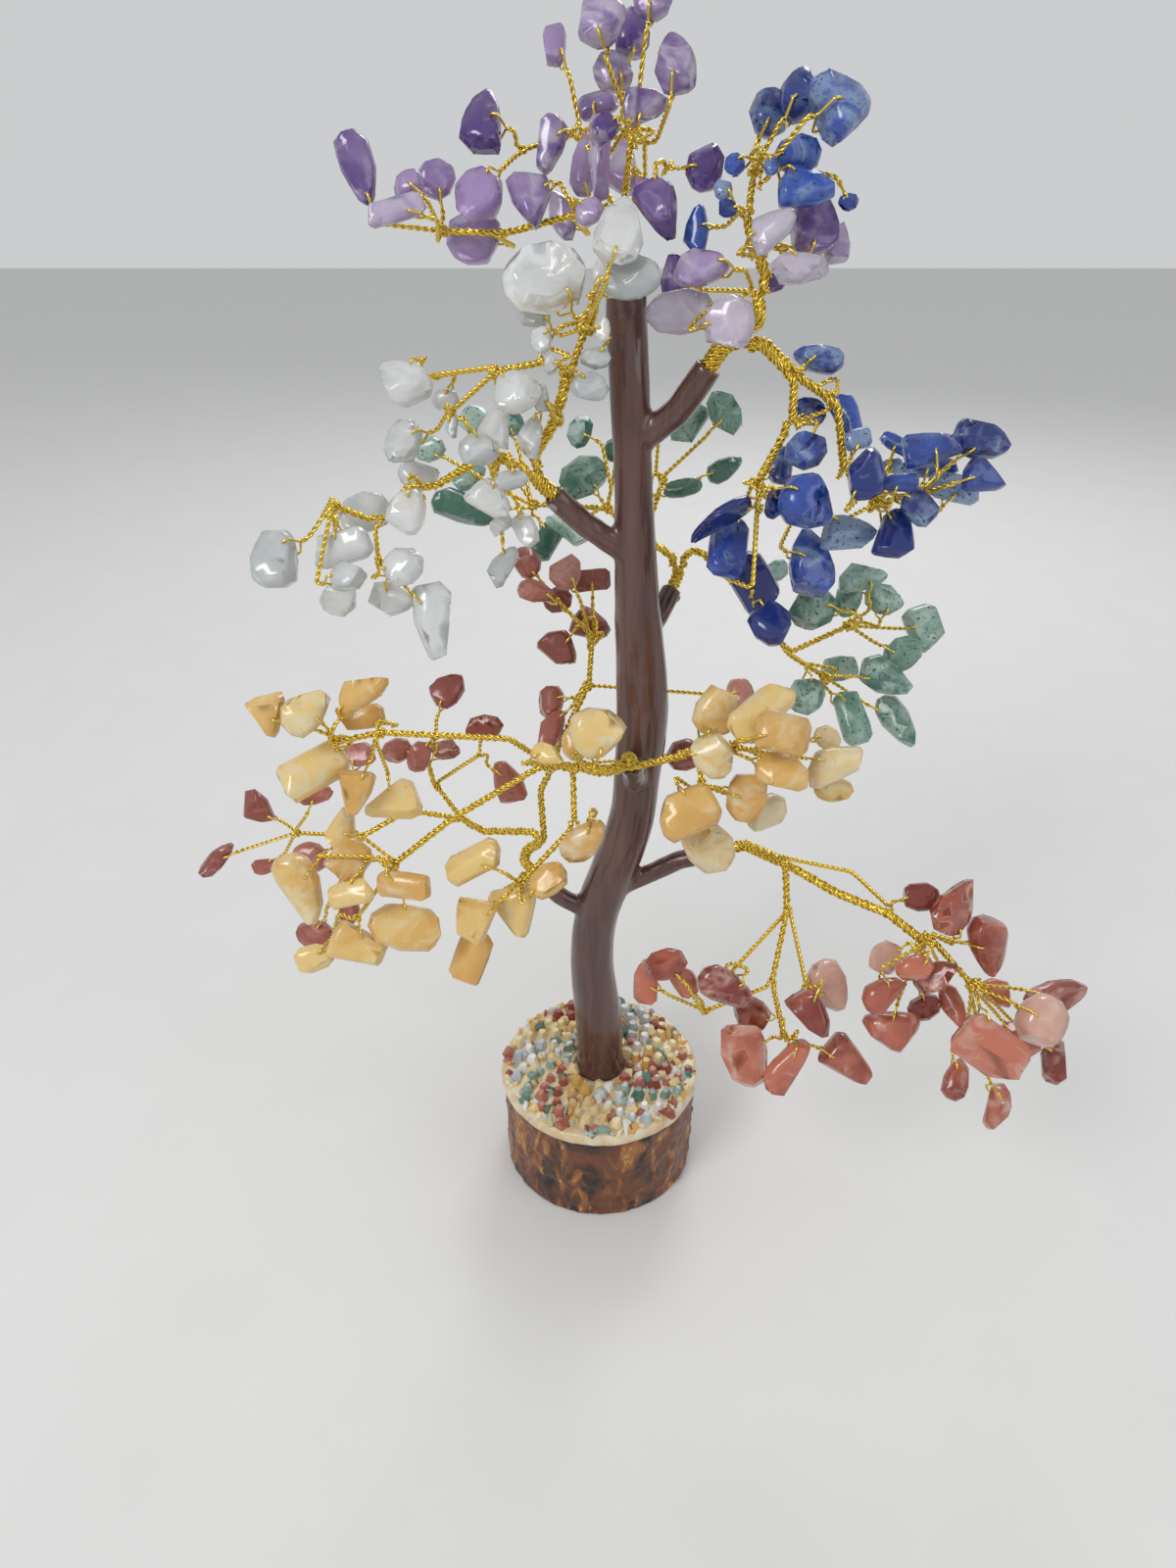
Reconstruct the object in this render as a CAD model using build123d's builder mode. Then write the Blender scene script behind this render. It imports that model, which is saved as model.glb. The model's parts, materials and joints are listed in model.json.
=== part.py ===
from build123d import *
import math
import os

# Gemstone tree ornament, in millimetres.
# +X is the viewer's right, -Y is towards the viewer, +Z is up.
# The origin is the middle of the underside of the wood slice.

# Driving sizes of the whole ornament
TREE_HEIGHT = 300.0
BASE_HEIGHT = 35.0

# Wood slice with its ring of bark
WOOD_DIAMETER = 51.0
BARK_THICKNESS = 2.4
BARK_FIT = 0.03
BARK_SWELL = 0.7
BARK_LUMPS = 23
WOOD_HEIGHT = 29.0
WOOD_EDGE = 0.8

# Resin bed poured over the slice, and the crushed stones set on it
BED_DIAMETER = 58.0
BED_EDGE = 1.0
GRAVEL_SIZE = 3.6
GRAVEL_AIR = 0.25
GRAVEL_RISE_SHARE = 0.6
GRAVEL_REACH_SHARE = 0.61
GRAVEL_BEVEL = 18.0
GRAVEL_TURN = 137.5

# Trunk: coated wire core, glued into the slice
CORE_DIAMETER = 3.4
CORE_FIT = 0.04
CORE_DEPTH = 15.0
FOOT_DIAMETER = 15.0
FOOT_STEP = 1.5
ROOT_ROUND_SHARE = 0.92
FOOT_FIT = 0.15
MOUTH_LIP = 0.9
SOCKET_DEPTH = 6.0
SOCKET_FIT = 0.04
ROOT_LESS = 0.5
BEND_AIR = 0.3

# Wire: a single strand, and the twisted pair that carries one stone
WIRE_DIAMETER = 0.4
PAIR_DIAMETER = 0.8
BUNDLE_PACKING = 0.79
RING_AIR = 0.15
STEM_RUN = 2.6
LEAD_RUN = 1.2
LEAD_STRETCHES = (1, 2, 3.5)
TAIL_RUN = 1.8
BEND_RADIUS_MAX = 9.0
BEND_LEAST_SHARE = 0.54
STRAIGHT_ANGLE = 3.0
SHARPEST_ANGLE = 135.0

# Stones: drilled hole and the loop of wire that passes through it
HOLE_DIAMETER = 0.9
HOLE_WALL = 0.2
WORN_SHARE = 0.94
STONE_BEVEL = 19.0
STONE_THICK_SHARE = 0.56
STONE_THINNEST = 1.9
BLADE_WIDE_SHARE = 0.5
TILT_SWING = 17.0
TILT_TURN = 137.5
LOOP_AIR = 0.22
LOOP_REACH = 1.5
LOOP_LEAD = 0.4
LOOP_BEND = 0.42

# Room kept between neighbours while the stones find their places
STONE_AIR = 0.25
WIRE_AIR = 0.12
BRANCH_AIR = 2.2
STONE_BALL = 0.95
STONE_BALL_STEP = 1.4
STONE_BALL_OVER = 0.3
WIRE_BALL_STEP = 0.45
CELL_SIZE = 4.4
DEPTH_STEP = 1.3
DEPTH_STEPS = 12
BULGE = 2.4
SPLAY = 1.9
MOST_TRIES = 250
SIDE_SKIP = 4
SIDE_SLOTS = 16

# Where the picture's lens stood; pixels are read from the picture's top left
PICTURE_MIDDLE_PX = (600.0, 800.0)
LENS_PX = 1109.0
EYE_TILT = 30.1
EYE_DISTANCE_SHARE = 0.795
EYE_HEIGHT_SHARE = 0.89
EYE_SIDE_SHARE = -0.0117

EYE_DISTANCE = TREE_HEIGHT * EYE_DISTANCE_SHARE
EYE_HEIGHT = TREE_HEIGHT * EYE_HEIGHT_SHARE
EYE_SIDE = TREE_HEIGHT * EYE_SIDE_SHARE

# Trunk's middle line from foot to tip: pixel x and y, nearness share, width in pixels
TRUNK_PX_AND_SHARES = (
    (607, 1010, 0.0, 46),
    (605, 955, 0.0, 44),
    (620, 900, 0.0, 46),
    (640, 850, 0.0, 47),
    (650, 790, 0.0, 48),
    (655, 700, 0.0, 53),
    (650, 610, 0.0, 46),
    (647, 520, 0.0, 41),
    (644, 430, 0.0, 41),
    (640, 340, -0.008, 43),
    (640, 262, -0.025, 40),
)

# Seven stubs: pixel x and y, nearness share of the point inside the trunk, of the elbow and
# of the mouth, from which the bundle of wires comes out
STUBS_PX_AND_SHARES = {
    "amethyst": None,
    "lapis": ((646, 455, 0.0), (692, 420, 0.008), (724, 373, 0.014)),
    "quartz": ((648, 570, 0.0), (594, 533, 0.012), (563, 504, 0.022)),
    "aventurine": ((654, 650, 0.0), (673, 628, -0.025), (686, 600, -0.042)),
    "citrine": ((651, 800, 0.0), (648, 792, 0.028), (644, 780, 0.052)),
    "jasper": ((612, 935, 0.0), (572, 915, 0.004), (546, 890, -0.004)),
    "carnelian": ((632, 905, 0.0), (692, 878, 0.006), (743, 866, 0.012)),
}

# Outlines of tumbled stones, as shares of half the length and half the width
OUTLINE_SHARES = {
    "tooth": ((-1.0, -0.3), (-0.8, -0.85), (-0.1, -1.0), (0.7, -0.55), (1.0, -0.05), (0.8, 0.35),
              (0.1, 0.92), (-0.6, 1.0), (-0.97, 0.4)),
    "shard": ((-1.0, -0.72), (-0.82, -1.0), (-0.4, -0.86), (0.85, -0.28), (1.0, 0.05), (0.8, 0.3),
              (-0.45, 0.98), (-0.85, 0.92), (-1.0, 0.6)),
    "brick": ((-1.0, -0.55), (-0.8, -1.0), (0.72, -0.9), (1.0, -0.45), (0.92, 0.62), (0.7, 1.0),
              (-0.75, 0.94), (-0.98, 0.5)),
    "nugget": ((-1.0, -0.2), (-0.72, -0.78), (-0.1, -1.0), (0.62, -0.84), (1.0, -0.15),
               (0.8, 0.62), (0.2, 1.0), (-0.55, 0.88), (-0.96, 0.3)),
    "drop": ((-1.0, -0.35), (-0.7, -0.9), (-0.15, -1.0), (0.6, -0.66), (0.96, -0.25), (1.0, 0.15),
             (0.62, 0.62), (-0.1, 0.98), (-0.72, 0.86), (-0.98, 0.35)),
    "fin": ((-1.0, -0.8), (-0.75, -1.0), (0.4, -0.92), (0.9, -0.6), (1.0, -0.25), (0.62, 0.42),
            (-0.1, 0.94), (-0.5, 1.0), (-0.9, 0.2)),
    "pebble": ((-1.0, 0.1), (-0.82, -0.62), (-0.2, -1.0), (0.55, -0.9), (0.98, -0.4), (0.9, 0.42),
               (0.35, 0.98), (-0.5, 1.0), (-0.9, 0.6)),
    "wedge": ((-1.0, -0.9), (-0.85, -1.0), (0.75, -0.62), (1.0, -0.4), (0.96, 0.36), (0.7, 0.6),
              (-0.8, 1.0), (-1.0, 0.8)),
    "blade": ((-1.0, -0.5), (-0.8, -0.95), (0.5, -1.0), (0.98, -0.5), (0.9, 0.55), (0.45, 1.0),
              (-0.7, 0.9), (-0.97, 0.4)),
}

# Corners of a crushed stone of the gravel, as shares of half its size
GRAVEL_OUTLINE_SHARES = (1.0, 0.86, 0.97, 0.8, 0.94, 0.88)
GRAVEL_SIZE_SHARES = (1.0, 0.78, 0.92, 0.7, 0.98, 0.84, 0.74, 0.95)
GRAVEL_COLOURS = ("cream", "red", "green", "white", "cream", "red", "white")

# Forks of the seven branches: earlier fork, pixel x and y, nearness share.
# Fork 0 is the mouth of the stub.
FORKS_PX_AND_SHARES = {
    "amethyst": (
        (0, 635, 222, -0.035), (1, 592, 214, -0.04), (2, 516, 238, -0.045), (3, 456, 236, -0.05),
        (1, 592, 140, -0.08), (5, 536, 152, -0.07), (1, 645, 140, -0.075), (1, 676, 176, -0.06),
    ),
    "lapis": (
        (0, 762, 344, 0.02), (1, 774, 300, 0.02), (2, 776, 262, 0.02), (3, 762, 220, 0.015),
        (4, 772, 165, 0.0), (1, 806, 378, 0.035), (6, 808, 430, 0.045), (7, 774, 490, 0.055),
        (6, 845, 405, 0.035), (9, 861, 478, 0.045), (10, 890, 508, 0.055), (8, 806, 528, 0.02),
        (8, 768, 598, 0.075), (11, 938, 502, 0.05),
    ),
    "quartz": (
        (0, 544, 481, 0.026), (1, 510, 470, 0.03), (2, 442, 497, 0.03), (3, 388, 530, 0.03),
        (4, 345, 517, 0.035), (1, 566, 430, 0.035), (6, 578, 385, 0.04), (7, 596, 340, 0.03),
        (7, 508, 378, 0.03), (9, 434, 384, 0.03), (9, 463, 418, 0.04), (4, 386, 568, 0.05),
    ),
    "aventurine": (
        (0, 692, 578, -0.05), (1, 724, 570, -0.055), (2, 762, 612, -0.06), (3, 802, 662, -0.06),
        (4, 862, 640, -0.065), (4, 838, 688, -0.055), (1, 660, 550, -0.085),
        (7, 622, 520, -0.12), (8, 548, 515, -0.135), (7, 676, 492, -0.12),
    ),
    "citrine": (
        (0, 641, 779, 0.08), (1, 592, 781, 0.095), (2, 560, 780, 0.1), (3, 466, 833, 0.12),
        (4, 404, 880, 0.13), (3, 526, 758, 0.11), (6, 392, 748, 0.12), (7, 346, 757, 0.12),
        (5, 366, 934, 0.135), (2, 586, 838, 0.11), (10, 534, 897, 0.12), (1, 700, 770, 0.1),
        (12, 746, 762, 0.11), (12, 716, 796, 0.115),
    ),
    "jasper": (
        (0, 547, 862, -0.012), (1, 552, 815, -0.025), (2, 562, 786, -0.035), (3, 598, 704, -0.05),
        (4, 604, 652, -0.055), (1, 500, 848, -0.03), (6, 470, 835, -0.03), (7, 448, 805, -0.035),
        (8, 434, 768, -0.04), (8, 488, 771, -0.035), (7, 424, 828, -0.04), (11, 372, 852, -0.045),
        (12, 306, 850, -0.05), (12, 334, 925, -0.045),
    ),
    "carnelian": (
        (0, 798, 879, 0.055), (1, 803, 926, 0.085), (2, 746, 992, 0.12), (2, 788, 1000, 0.125),
        (4, 799, 1054, 0.135), (2, 822, 1002, 0.12), (4, 724, 1030, 0.135), (1, 845, 906, 0.085),
        (8, 896, 928, 0.115), (9, 938, 957, 0.14), (10, 990, 1002, 0.165), (1, 862, 888, 0.075),
        (12, 906, 924, 0.095),
    ),
}

# Stones: fork, pixel x and y of the middle, length and width in pixels, turn of the length
# against the picture's right in degrees, outline, nearness share
STONES_PX_AND_SHARES = {
    "amethyst": (
        (4, 366, 172, 75, 38, -72, "tooth", -0.04), (4, 403, 214, 64, 26, 16, "brick", -0.02),
        (4, 417, 188, 36, 28, 20, "nugget", -0.04), (4, 445, 182, 42, 38, 60, "pebble", -0.07),
        (6, 490, 125, 80, 44, 90, "fin", -0.07), (6, 488, 200, 56, 52, 80, "nugget", -0.04),
        (3, 484, 240, 58, 55, 80, "pebble", -0.07), (2, 540, 210, 64, 48, -85, "shard", -0.03),
        (5, 559, 148, 60, 38, -95, "tooth", -0.06), (5, 565, 45, 46, 26, 85, "brick", -0.1),
        (7, 612, 18, 56, 54, 60, "nugget", -0.07), (7, 645, 33, 50, 38, 95, "tooth", -0.12),
        (7, 628, 73, 48, 40, 20, "pebble", -0.1), (7, 690, 65, 62, 48, 100, "drop", -0.05),
        (7, 657, 105, 52, 36, 15, "fin", -0.05), (5, 610, 105, 44, 28, 10, "brick", -0.13),
        (7, 613, 160, 84, 16, 92, "blade", -0.07), (5, 617, 130, 32, 28, 40, "nugget", -0.03),
        (7, 668, -2, 44, 40, 60, "pebble", -0.09), (8, 720, 170, 48, 40, 70, "nugget", -0.04),
        (2, 596, 165, 68, 28, 85, "tooth", -0.12), (7, 634, 170, 66, 34, 95, "fin", -0.12),
        (2, 576, 222, 58, 32, -80, "tooth", -0.11), (2, 602, 216, 32, 28, 30, "nugget", -0.01),
        (8, 675, 218, 72, 48, -72, "shard", -0.04), (8, 655, 188, 18, 15, 20, "nugget", -0.02),
    ),
    "lapis": (
        (5, 822, 98, 58, 52, 90, "pebble", -0.02), (5, 785, 115, 48, 45, 90, "nugget", -0.04),
        (5, 856, 116, 68, 70, -98, "shard", 0.03), (5, 815, 158, 50, 38, 20, "pebble", 0.01),
        (5, 787, 170, 20, 16, 90, "nugget", 0.04), (5, 822, 190, 62, 42, 5, "fin", 0.04),
        (5, 866, 206, 22, 18, 10, "nugget", 0.0), (4, 750, 168, 22, 22, 30, "nugget", 0.02),
        (4, 738, 193, 24, 20, 90, "nugget", 0.0), (4, 742, 213, 22, 18, 0, "pebble", 0.03),
        (4, 711, 232, 50, 26, 85, "tooth", -0.01), (6, 834, 366, 58, 30, 178, "tooth", 0.0),
        (7, 822, 460, 46, 40, 50, "pebble", 0.06), (9, 825, 420, 44, 30, -10, "nugget", 0.0),
        (9, 866, 425, 60, 28, -60, "fin", 0.01), (10, 884, 482, 56, 42, 90, "drop", 0.065),
        (10, 876, 448, 28, 22, 10, "brick", 0.03), (8, 825, 512, 66, 58, 5, "nugget", 0.075),
        (8, 797, 474, 40, 26, 80, "brick", 0.03), (8, 790, 514, 32, 24, 90, "pebble", 0.05),
        (8, 734, 529, 78, 9, 31, "blade", 0.08), (8, 743, 560, 66, 42, 80, "brick", 0.06),
        (13, 771, 598, 70, 44, -60, "brick", 0.05), (13, 787, 637, 50, 44, -40, "pebble", 0.085),
        (12, 827, 576, 72, 50, 100, "drop", 0.05), (12, 866, 543, 66, 38, 5, "fin", 0.045),
        (12, 914, 545, 54, 46, 82, "wedge", 0.06), (11, 915, 453, 36, 17, -35, "brick", 0.03),
        (14, 953, 457, 62, 38, 8, "wedge", 0.07), (14, 1002, 448, 62, 44, -15, "drop", 0.035),
        (14, 1006, 484, 58, 36, 5, "fin", 0.06), (14, 948, 478, 58, 20, 0, "brick", 0.04),
        (11, 918, 491, 40, 22, -10, "brick", 0.07), (11, 938, 518, 42, 32, -50, "brick", 0.075),
        (14, 974, 498, 60, 30, -8, "brick", 0.05), (11, 912, 475, 28, 16, 0, "nugget", 0.03),
    ),
    "quartz": (
        (8, 556, 284, 92, 72, 15, "nugget", 0.02), (8, 631, 235, 68, 54, 80, "drop", 0.07),
        (8, 644, 284, 66, 42, 5, "pebble", 0.075), (8, 612, 275, 32, 14, 85, "tooth", 0.03),
        (8, 545, 322, 36, 28, 10, "pebble", 0.0), (8, 552, 347, 32, 22, 90, "nugget", 0.05),
        (7, 562, 372, 22, 15, 90, "nugget", 0.07), (8, 616, 336, 26, 16, 80, "tooth", 0.06),
        (8, 608, 366, 34, 24, 10, "nugget", 0.05), (7, 602, 396, 40, 32, 20, "pebble", 0.06),
        (10, 413, 392, 62, 48, -20, "pebble", 0.035), (10, 455, 408, 30, 24, 0, "nugget", 0.0),
        (11, 411, 452, 52, 38, 70, "nugget", 0.03), (3, 428, 484, 42, 36, 30, "pebble", 0.0),
        (3, 415, 521, 48, 44, 60, "drop", 0.055), (9, 528, 400, 54, 44, 20, "pebble", 0.055),
        (9, 508, 430, 60, 36, 75, "shard", 0.03), (11, 489, 460, 42, 38, 0, "nugget", 0.055),
        (6, 540, 446, 46, 28, 80, "fin", 0.025), (6, 553, 406, 32, 16, 90, "tooth", 0.06),
        (11, 461, 436, 22, 13, 80, "brick", 0.06), (2, 522, 490, 38, 22, 15, "nugget", 0.055),
        (2, 502, 509, 54, 34, -32, "fin", 0.065), (2, 512, 536, 26, 20, 30, "brick", 0.03),
        (2, 539, 545, 46, 24, -58, "tooth", 0.055), (2, 514, 578, 50, 28, 60, "drop", 0.04),
        (5, 281, 568, 68, 54, 90, "drop", 0.04), (5, 347, 560, 72, 36, 10, "brick", 0.04),
        (5, 357, 589, 42, 34, 0, "nugget", 0.065), (5, 347, 610, 42, 36, 70, "pebble", 0.02),
        (5, 373, 523, 58, 42, 20, "nugget", -0.01), (12, 412, 578, 44, 40, 40, "pebble", 0.065),
        (12, 400, 610, 56, 38, 10, "fin", 0.04), (12, 445, 637, 92, 44, -82, "tooth", 0.07),
    ),
    "aventurine": (
        (5, 880, 586, 56, 34, 10, "fin", -0.05), (3, 793, 582, 28, 22, 30, "nugget", -0.04),
        (5, 827, 622, 56, 44, 15, "nugget", -0.035), (5, 866, 610, 42, 28, 80, "pebble", -0.05),
        (5, 902, 611, 44, 34, -12, "pebble", -0.065), (5, 943, 641, 48, 38, -70, "brick", -0.07),
        (5, 921, 667, 44, 36, 40, "nugget", -0.055), (6, 862, 681, 52, 28, 8, "drop", -0.065),
        (6, 906, 692, 66, 36, -25, "tooth", -0.045), (6, 823, 710, 44, 38, 60, "pebble", -0.025),
        (6, 871, 733, 58, 34, -80, "brick", -0.035), (6, 916, 736, 62, 30, -60, "drop", -0.06),
        (10, 704, 434, 50, 26, 55, "brick", -0.12), (10, 740, 421, 48, 34, -60, "nugget", -0.11),
        (10, 740, 478, 40, 24, 30, "drop", -0.12), (10, 697, 498, 44, 20, 5, "nugget", -0.1),
        (9, 474, 520, 70, 34, -20, "tooth", -0.14), (9, 482, 430, 40, 32, 40, "pebble", -0.15),
        (9, 518, 432, 36, 28, 0, "nugget", -0.16), (9, 438, 458, 36, 26, 10, "pebble", -0.15),
        (9, 478, 486, 40, 28, 30, "nugget", -0.17), (9, 558, 552, 44, 26, 60, "brick", -0.12),
        (8, 596, 486, 54, 40, 40, "pebble", -0.13), (8, 592, 440, 34, 26, 70, "nugget", -0.14),
        (8, 580, 541, 54, 20, -40, "brick", -0.1), (8, 628, 458, 30, 24, 60, "nugget", -0.16),
    ),
    "citrine": (
        (8, 273, 729, 50, 44, -80, "shard", 0.11), (8, 315, 722, 66, 42, 45, "tooth", 0.12),
        (8, 371, 703, 62, 34, 28, "fin", 0.125), (7, 366, 732, 58, 26, 5, "brick", 0.09),
        (8, 319, 787, 78, 44, 30, "brick", 0.135), (7, 361, 810, 48, 44, -95, "wedge", 0.14),
        (7, 399, 820, 58, 48, 200, "shard", 0.12), (5, 348, 845, 52, 32, 75, "drop", 0.1),
        (5, 354, 881, 54, 40, 50, "brick", 0.12), (5, 306, 908, 80, 50, -68, "drop", 0.14),
        (5, 358, 912, 50, 28, 12, "brick", 0.14), (5, 414, 904, 62, 30, -6, "brick", 0.15),
        (5, 416, 946, 80, 52, -10, "nugget", 0.135), (9, 368, 966, 62, 42, -22, "wedge", 0.145),
        (9, 319, 978, 46, 30, 15, "pebble", 0.13), (11, 484, 879, 66, 34, 25, "brick", 0.12),
        (11, 527, 932, 56, 52, -75, "shard", 0.13), (11, 482, 942, 52, 46, -100, "wedge", 0.145),
        (11, 481, 977, 56, 38, 70, "brick", 0.12), (10, 596, 858, 58, 38, 45, "drop", 0.12),
        (11, 560, 898, 46, 34, 35, "nugget", 0.13), (2, 611, 745, 62, 54, 20, "drop", 0.12),
        (2, 587, 758, 38, 30, 90, "nugget", 0.1), (3, 560, 770, 38, 22, -20, "tooth", 0.125),
        (12, 732, 721, 62, 48, 70, "drop", 0.095), (13, 778, 724, 84, 38, 38, "brick", 0.1),
        (13, 800, 748, 62, 44, -15, "brick", 0.12), (12, 728, 771, 54, 42, -50, "pebble", 0.13),
        (13, 798, 789, 58, 42, -15, "pebble", 0.125), (13, 856, 777, 76, 38, 22, "fin", 0.12),
        (13, 851, 806, 44, 26, 0, "nugget", 0.1), (13, 844, 753, 32, 24, -30, "pebble", 0.085),
        (14, 762, 812, 58, 44, 80, "nugget", 0.13), (14, 703, 829, 66, 50, 20, "brick", 0.135),
        (14, 724, 864, 64, 52, -50, "nugget", 0.125), (14, 783, 830, 46, 38, 60, "pebble", 0.105),
    ),
    "jasper": (
        (13, 262, 825, 46, 30, -40, "tooth", -0.05), (13, 221, 877, 46, 20, 45, "drop", -0.055),
        (13, 272, 884, 36, 18, 10, "tooth", -0.05), (12, 317, 874, 40, 32, -20, "nugget", -0.04),
        (13, 322, 811, 38, 20, 12, "nugget", -0.04), (9, 458, 703, 42, 34, 40, "drop", -0.055),
        (10, 494, 742, 42, 26, 10, "nugget", -0.045), (9, 455, 764, 32, 24, 0, "pebble", -0.06),
        (9, 405, 766, 34, 26, 20, "nugget", -0.05), (9, 428, 772, 34, 26, 80, "pebble", -0.03),
        (12, 368, 770, 36, 26, 10, "pebble", -0.035), (10, 518, 798, 54, 32, 115, "tooth", -0.04),
        (4, 561, 716, 36, 30, 80, "pebble", -0.06), (4, 562, 744, 48, 28, 60, "drop", -0.045),
        (14, 323, 954, 44, 32, -20, "nugget", -0.045), (14, 356, 932, 30, 22, 70, "pebble", -0.05),
        (5, 538, 574, 36, 28, -60, "pebble", -0.07), (5, 577, 583, 42, 34, 80, "nugget", -0.06),
        (5, 549, 604, 42, 25, -15, "tooth", -0.05), (5, 569, 612, 32, 28, 20, "nugget", -0.075),
        (5, 605, 592, 40, 24, 5, "brick", -0.08), (5, 604, 636, 46, 32, -10, "fin", -0.065),
        (5, 573, 662, 48, 34, -45, "fin", -0.045), (4, 758, 712, 44, 28, -70, "drop", -0.05),
        (3, 700, 770, 42, 34, 10, "nugget", -0.055),
    ),
    "carnelian": (
        (3, 742, 1009, 68, 38, -32, "drop", 0.135), (5, 766, 1034, 46, 36, -30, "nugget", 0.12),
        (5, 760, 1075, 72, 50, -70, "pebble", 0.14), (5, 802, 1087, 76, 32, 58, "fin", 0.155),
        (5, 866, 1083, 60, 40, -42, "wedge", 0.14), (6, 847, 1006, 58, 40, -65, "drop", 0.12),
        (6, 829, 1032, 58, 36, -50, "fin", 0.145), (7, 659, 1000, 52, 26, 88, "brick", 0.135),
        (7, 679, 984, 48, 34, 8, "nugget", 0.155), (7, 698, 1000, 40, 26, -60, "brick", 0.13),
        (13, 940, 915, 40, 30, 5, "pebble", 0.105), (13, 976, 924, 66, 40, 62, "tooth", 0.12),
        (10, 1012, 967, 74, 44, -72, "drop", 0.145), (10, 903, 978, 40, 32, 60, "pebble", 0.125),
        (10, 934, 988, 40, 30, 10, "nugget", 0.155), (10, 955, 998, 54, 32, 25, "pebble", 0.145),
        (10, 905, 1013, 54, 36, 30, "tooth", 0.15), (10, 908, 1052, 58, 42, 175, "fin", 0.155),
        (10, 944, 1028, 36, 26, 30, "pebble", 0.135), (10, 974, 1031, 56, 24, -72, "drop", 0.14),
        (11, 1020, 1013, 42, 28, -20, "nugget", 0.135), (11, 1078, 1017, 72, 38, 15, "drop", 0.16),
        (11, 1063, 1042, 60, 52, 60, "nugget", 0.185), (11, 1012, 1072, 76, 56, -38, "brick", 0.19),
        (11, 1040, 1062, 46, 38, 0, "pebble", 0.165), (11, 1077, 1078, 56, 32, 75, "drop", 0.16),
        (11, 976, 1101, 44, 28, 70, "drop", 0.165), (11, 1019, 1128, 46, 34, 95, "wedge", 0.17),
    ),
}

# The lapis branch also carries a spray of amethysts
LAPIS_BRANCH_AMETHYSTS_PX_AND_SHARES = (
    (3, 788, 232, 54, 36, 35, "fin", 0.045), (3, 830, 226, 72, 54, 95, "drop", 0.0),
    (3, 855, 248, 58, 28, 85, "tooth", -0.03), (3, 820, 274, 72, 32, 5, "tooth", 0.05),
    (3, 790, 288, 26, 20, 0, "nugget", 0.0), (2, 715, 272, 60, 40, 15, "fin", 0.03),
    (2, 687, 285, 50, 30, -80, "brick", -0.03), (2, 694, 318, 74, 46, 10, "nugget", 0.0),
    (2, 745, 330, 58, 54, 90, "nugget", 0.06),
)


# Directions and distances
def plus(first, second):
    return tuple(a + b for a, b in zip(first, second))


def minus(first, second):
    return tuple(a - b for a, b in zip(first, second))


def times(vector, factor):
    return tuple(a * factor for a in vector)


def dot(first, second):
    return sum(a * b for a, b in zip(first, second))


def cross(first, second):
    return (
        first[1] * second[2] - first[2] * second[1],
        first[2] * second[0] - first[0] * second[2],
        first[0] * second[1] - first[1] * second[0],
    )


def length(vector):
    return math.sqrt(dot(vector, vector))


def unit(vector):
    return times(vector, 1 / length(vector))


def turned(vector, axis, angle):
    """Vector turned about a unit axis by an angle in degrees."""
    cos, sin = math.cos(math.radians(angle)), math.sin(math.radians(angle))
    along = times(axis, dot(axis, vector) * (1 - cos))
    return plus(plus(times(vector, cos), times(cross(axis, vector), sin)), along)


def angle_between(first, second):
    cosine = dot(unit(first), unit(second))
    return math.degrees(math.acos(max(-1, min(1, cosine))))


# The picture's lens
TILT_COS = math.cos(math.radians(EYE_TILT))
TILT_SIN = math.sin(math.radians(EYE_TILT))
VIEW_RIGHT = (1, 0, 0)
VIEW_UP = (0, TILT_SIN, TILT_COS)
VIEW_BACK = (0, -TILT_COS, TILT_SIN)


def reach_to(x_px, y_px, near_share):
    """Distance along the lens's axis to the upright plane at this nearness."""
    rise = (PICTURE_MIDDLE_PX[1] - y_px) / LENS_PX
    return EYE_DISTANCE * (1 - near_share) / (rise * TILT_SIN + TILT_COS)


def picture_point(x_px, y_px, near_share):
    """Point seen at a pixel, on the upright plane at this share of the eye's distance."""
    reach = reach_to(x_px, y_px, near_share)
    across = (x_px - PICTURE_MIDDLE_PX[0]) / LENS_PX
    rise = (PICTURE_MIDDLE_PX[1] - y_px) / LENS_PX
    return (
        EYE_SIDE + reach * across,
        -EYE_DISTANCE * near_share,
        EYE_HEIGHT + reach * (rise * TILT_COS - TILT_SIN),
    )


def picture_size(size_px, x_px, y_px, near_share):
    return size_px * reach_to(x_px, y_px, near_share) / LENS_PX


# Room: every placed piece leaves balls in a grid of cells, and a new piece asks for clear space
class Room:
    def __init__(self):
        self.cells = {}

    @staticmethod
    def cell(point):
        return tuple(math.floor(a / CELL_SIZE) for a in point)

    def add(self, balls, branch, kind):
        """Fill the cells round each ball: point, radius, the forks it leaves and meets."""
        for point, radius, forks in balls:
            reach = radius + STONE_BALL + BRANCH_AIR
            low = self.cell(tuple(a - reach for a in point))
            high = self.cell(tuple(a + reach for a in point))
            for i in range(low[0], high[0] + 1):
                for j in range(low[1], high[1] + 1):
                    for k in range(low[2], high[2] + 1):
                        entry = (point, radius, forks, branch, kind)
                        self.cells.setdefault((i, j, k), []).append(entry)

    def clear(self, balls, branch, kind):
        """True if no ball comes too close to a placed one."""
        for point, radius, (leaves, meets) in balls:
            x, y, z = point
            for other, size, near, owner, sort in self.cells.get(self.cell(point), ()):
                if (leaves and leaves == near[1]) or (meets and meets == near[0]):
                    continue
                if owner != branch:
                    air = BRANCH_AIR
                elif kind == sort == "wire":
                    air = WIRE_AIR
                else:
                    air = STONE_AIR
                least = radius + size + air
                dx, dy, dz = x - other[0], y - other[1], z - other[2]
                if dx * dx + dy * dy + dz * dz < least * least:
                    return False
        return True


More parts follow.
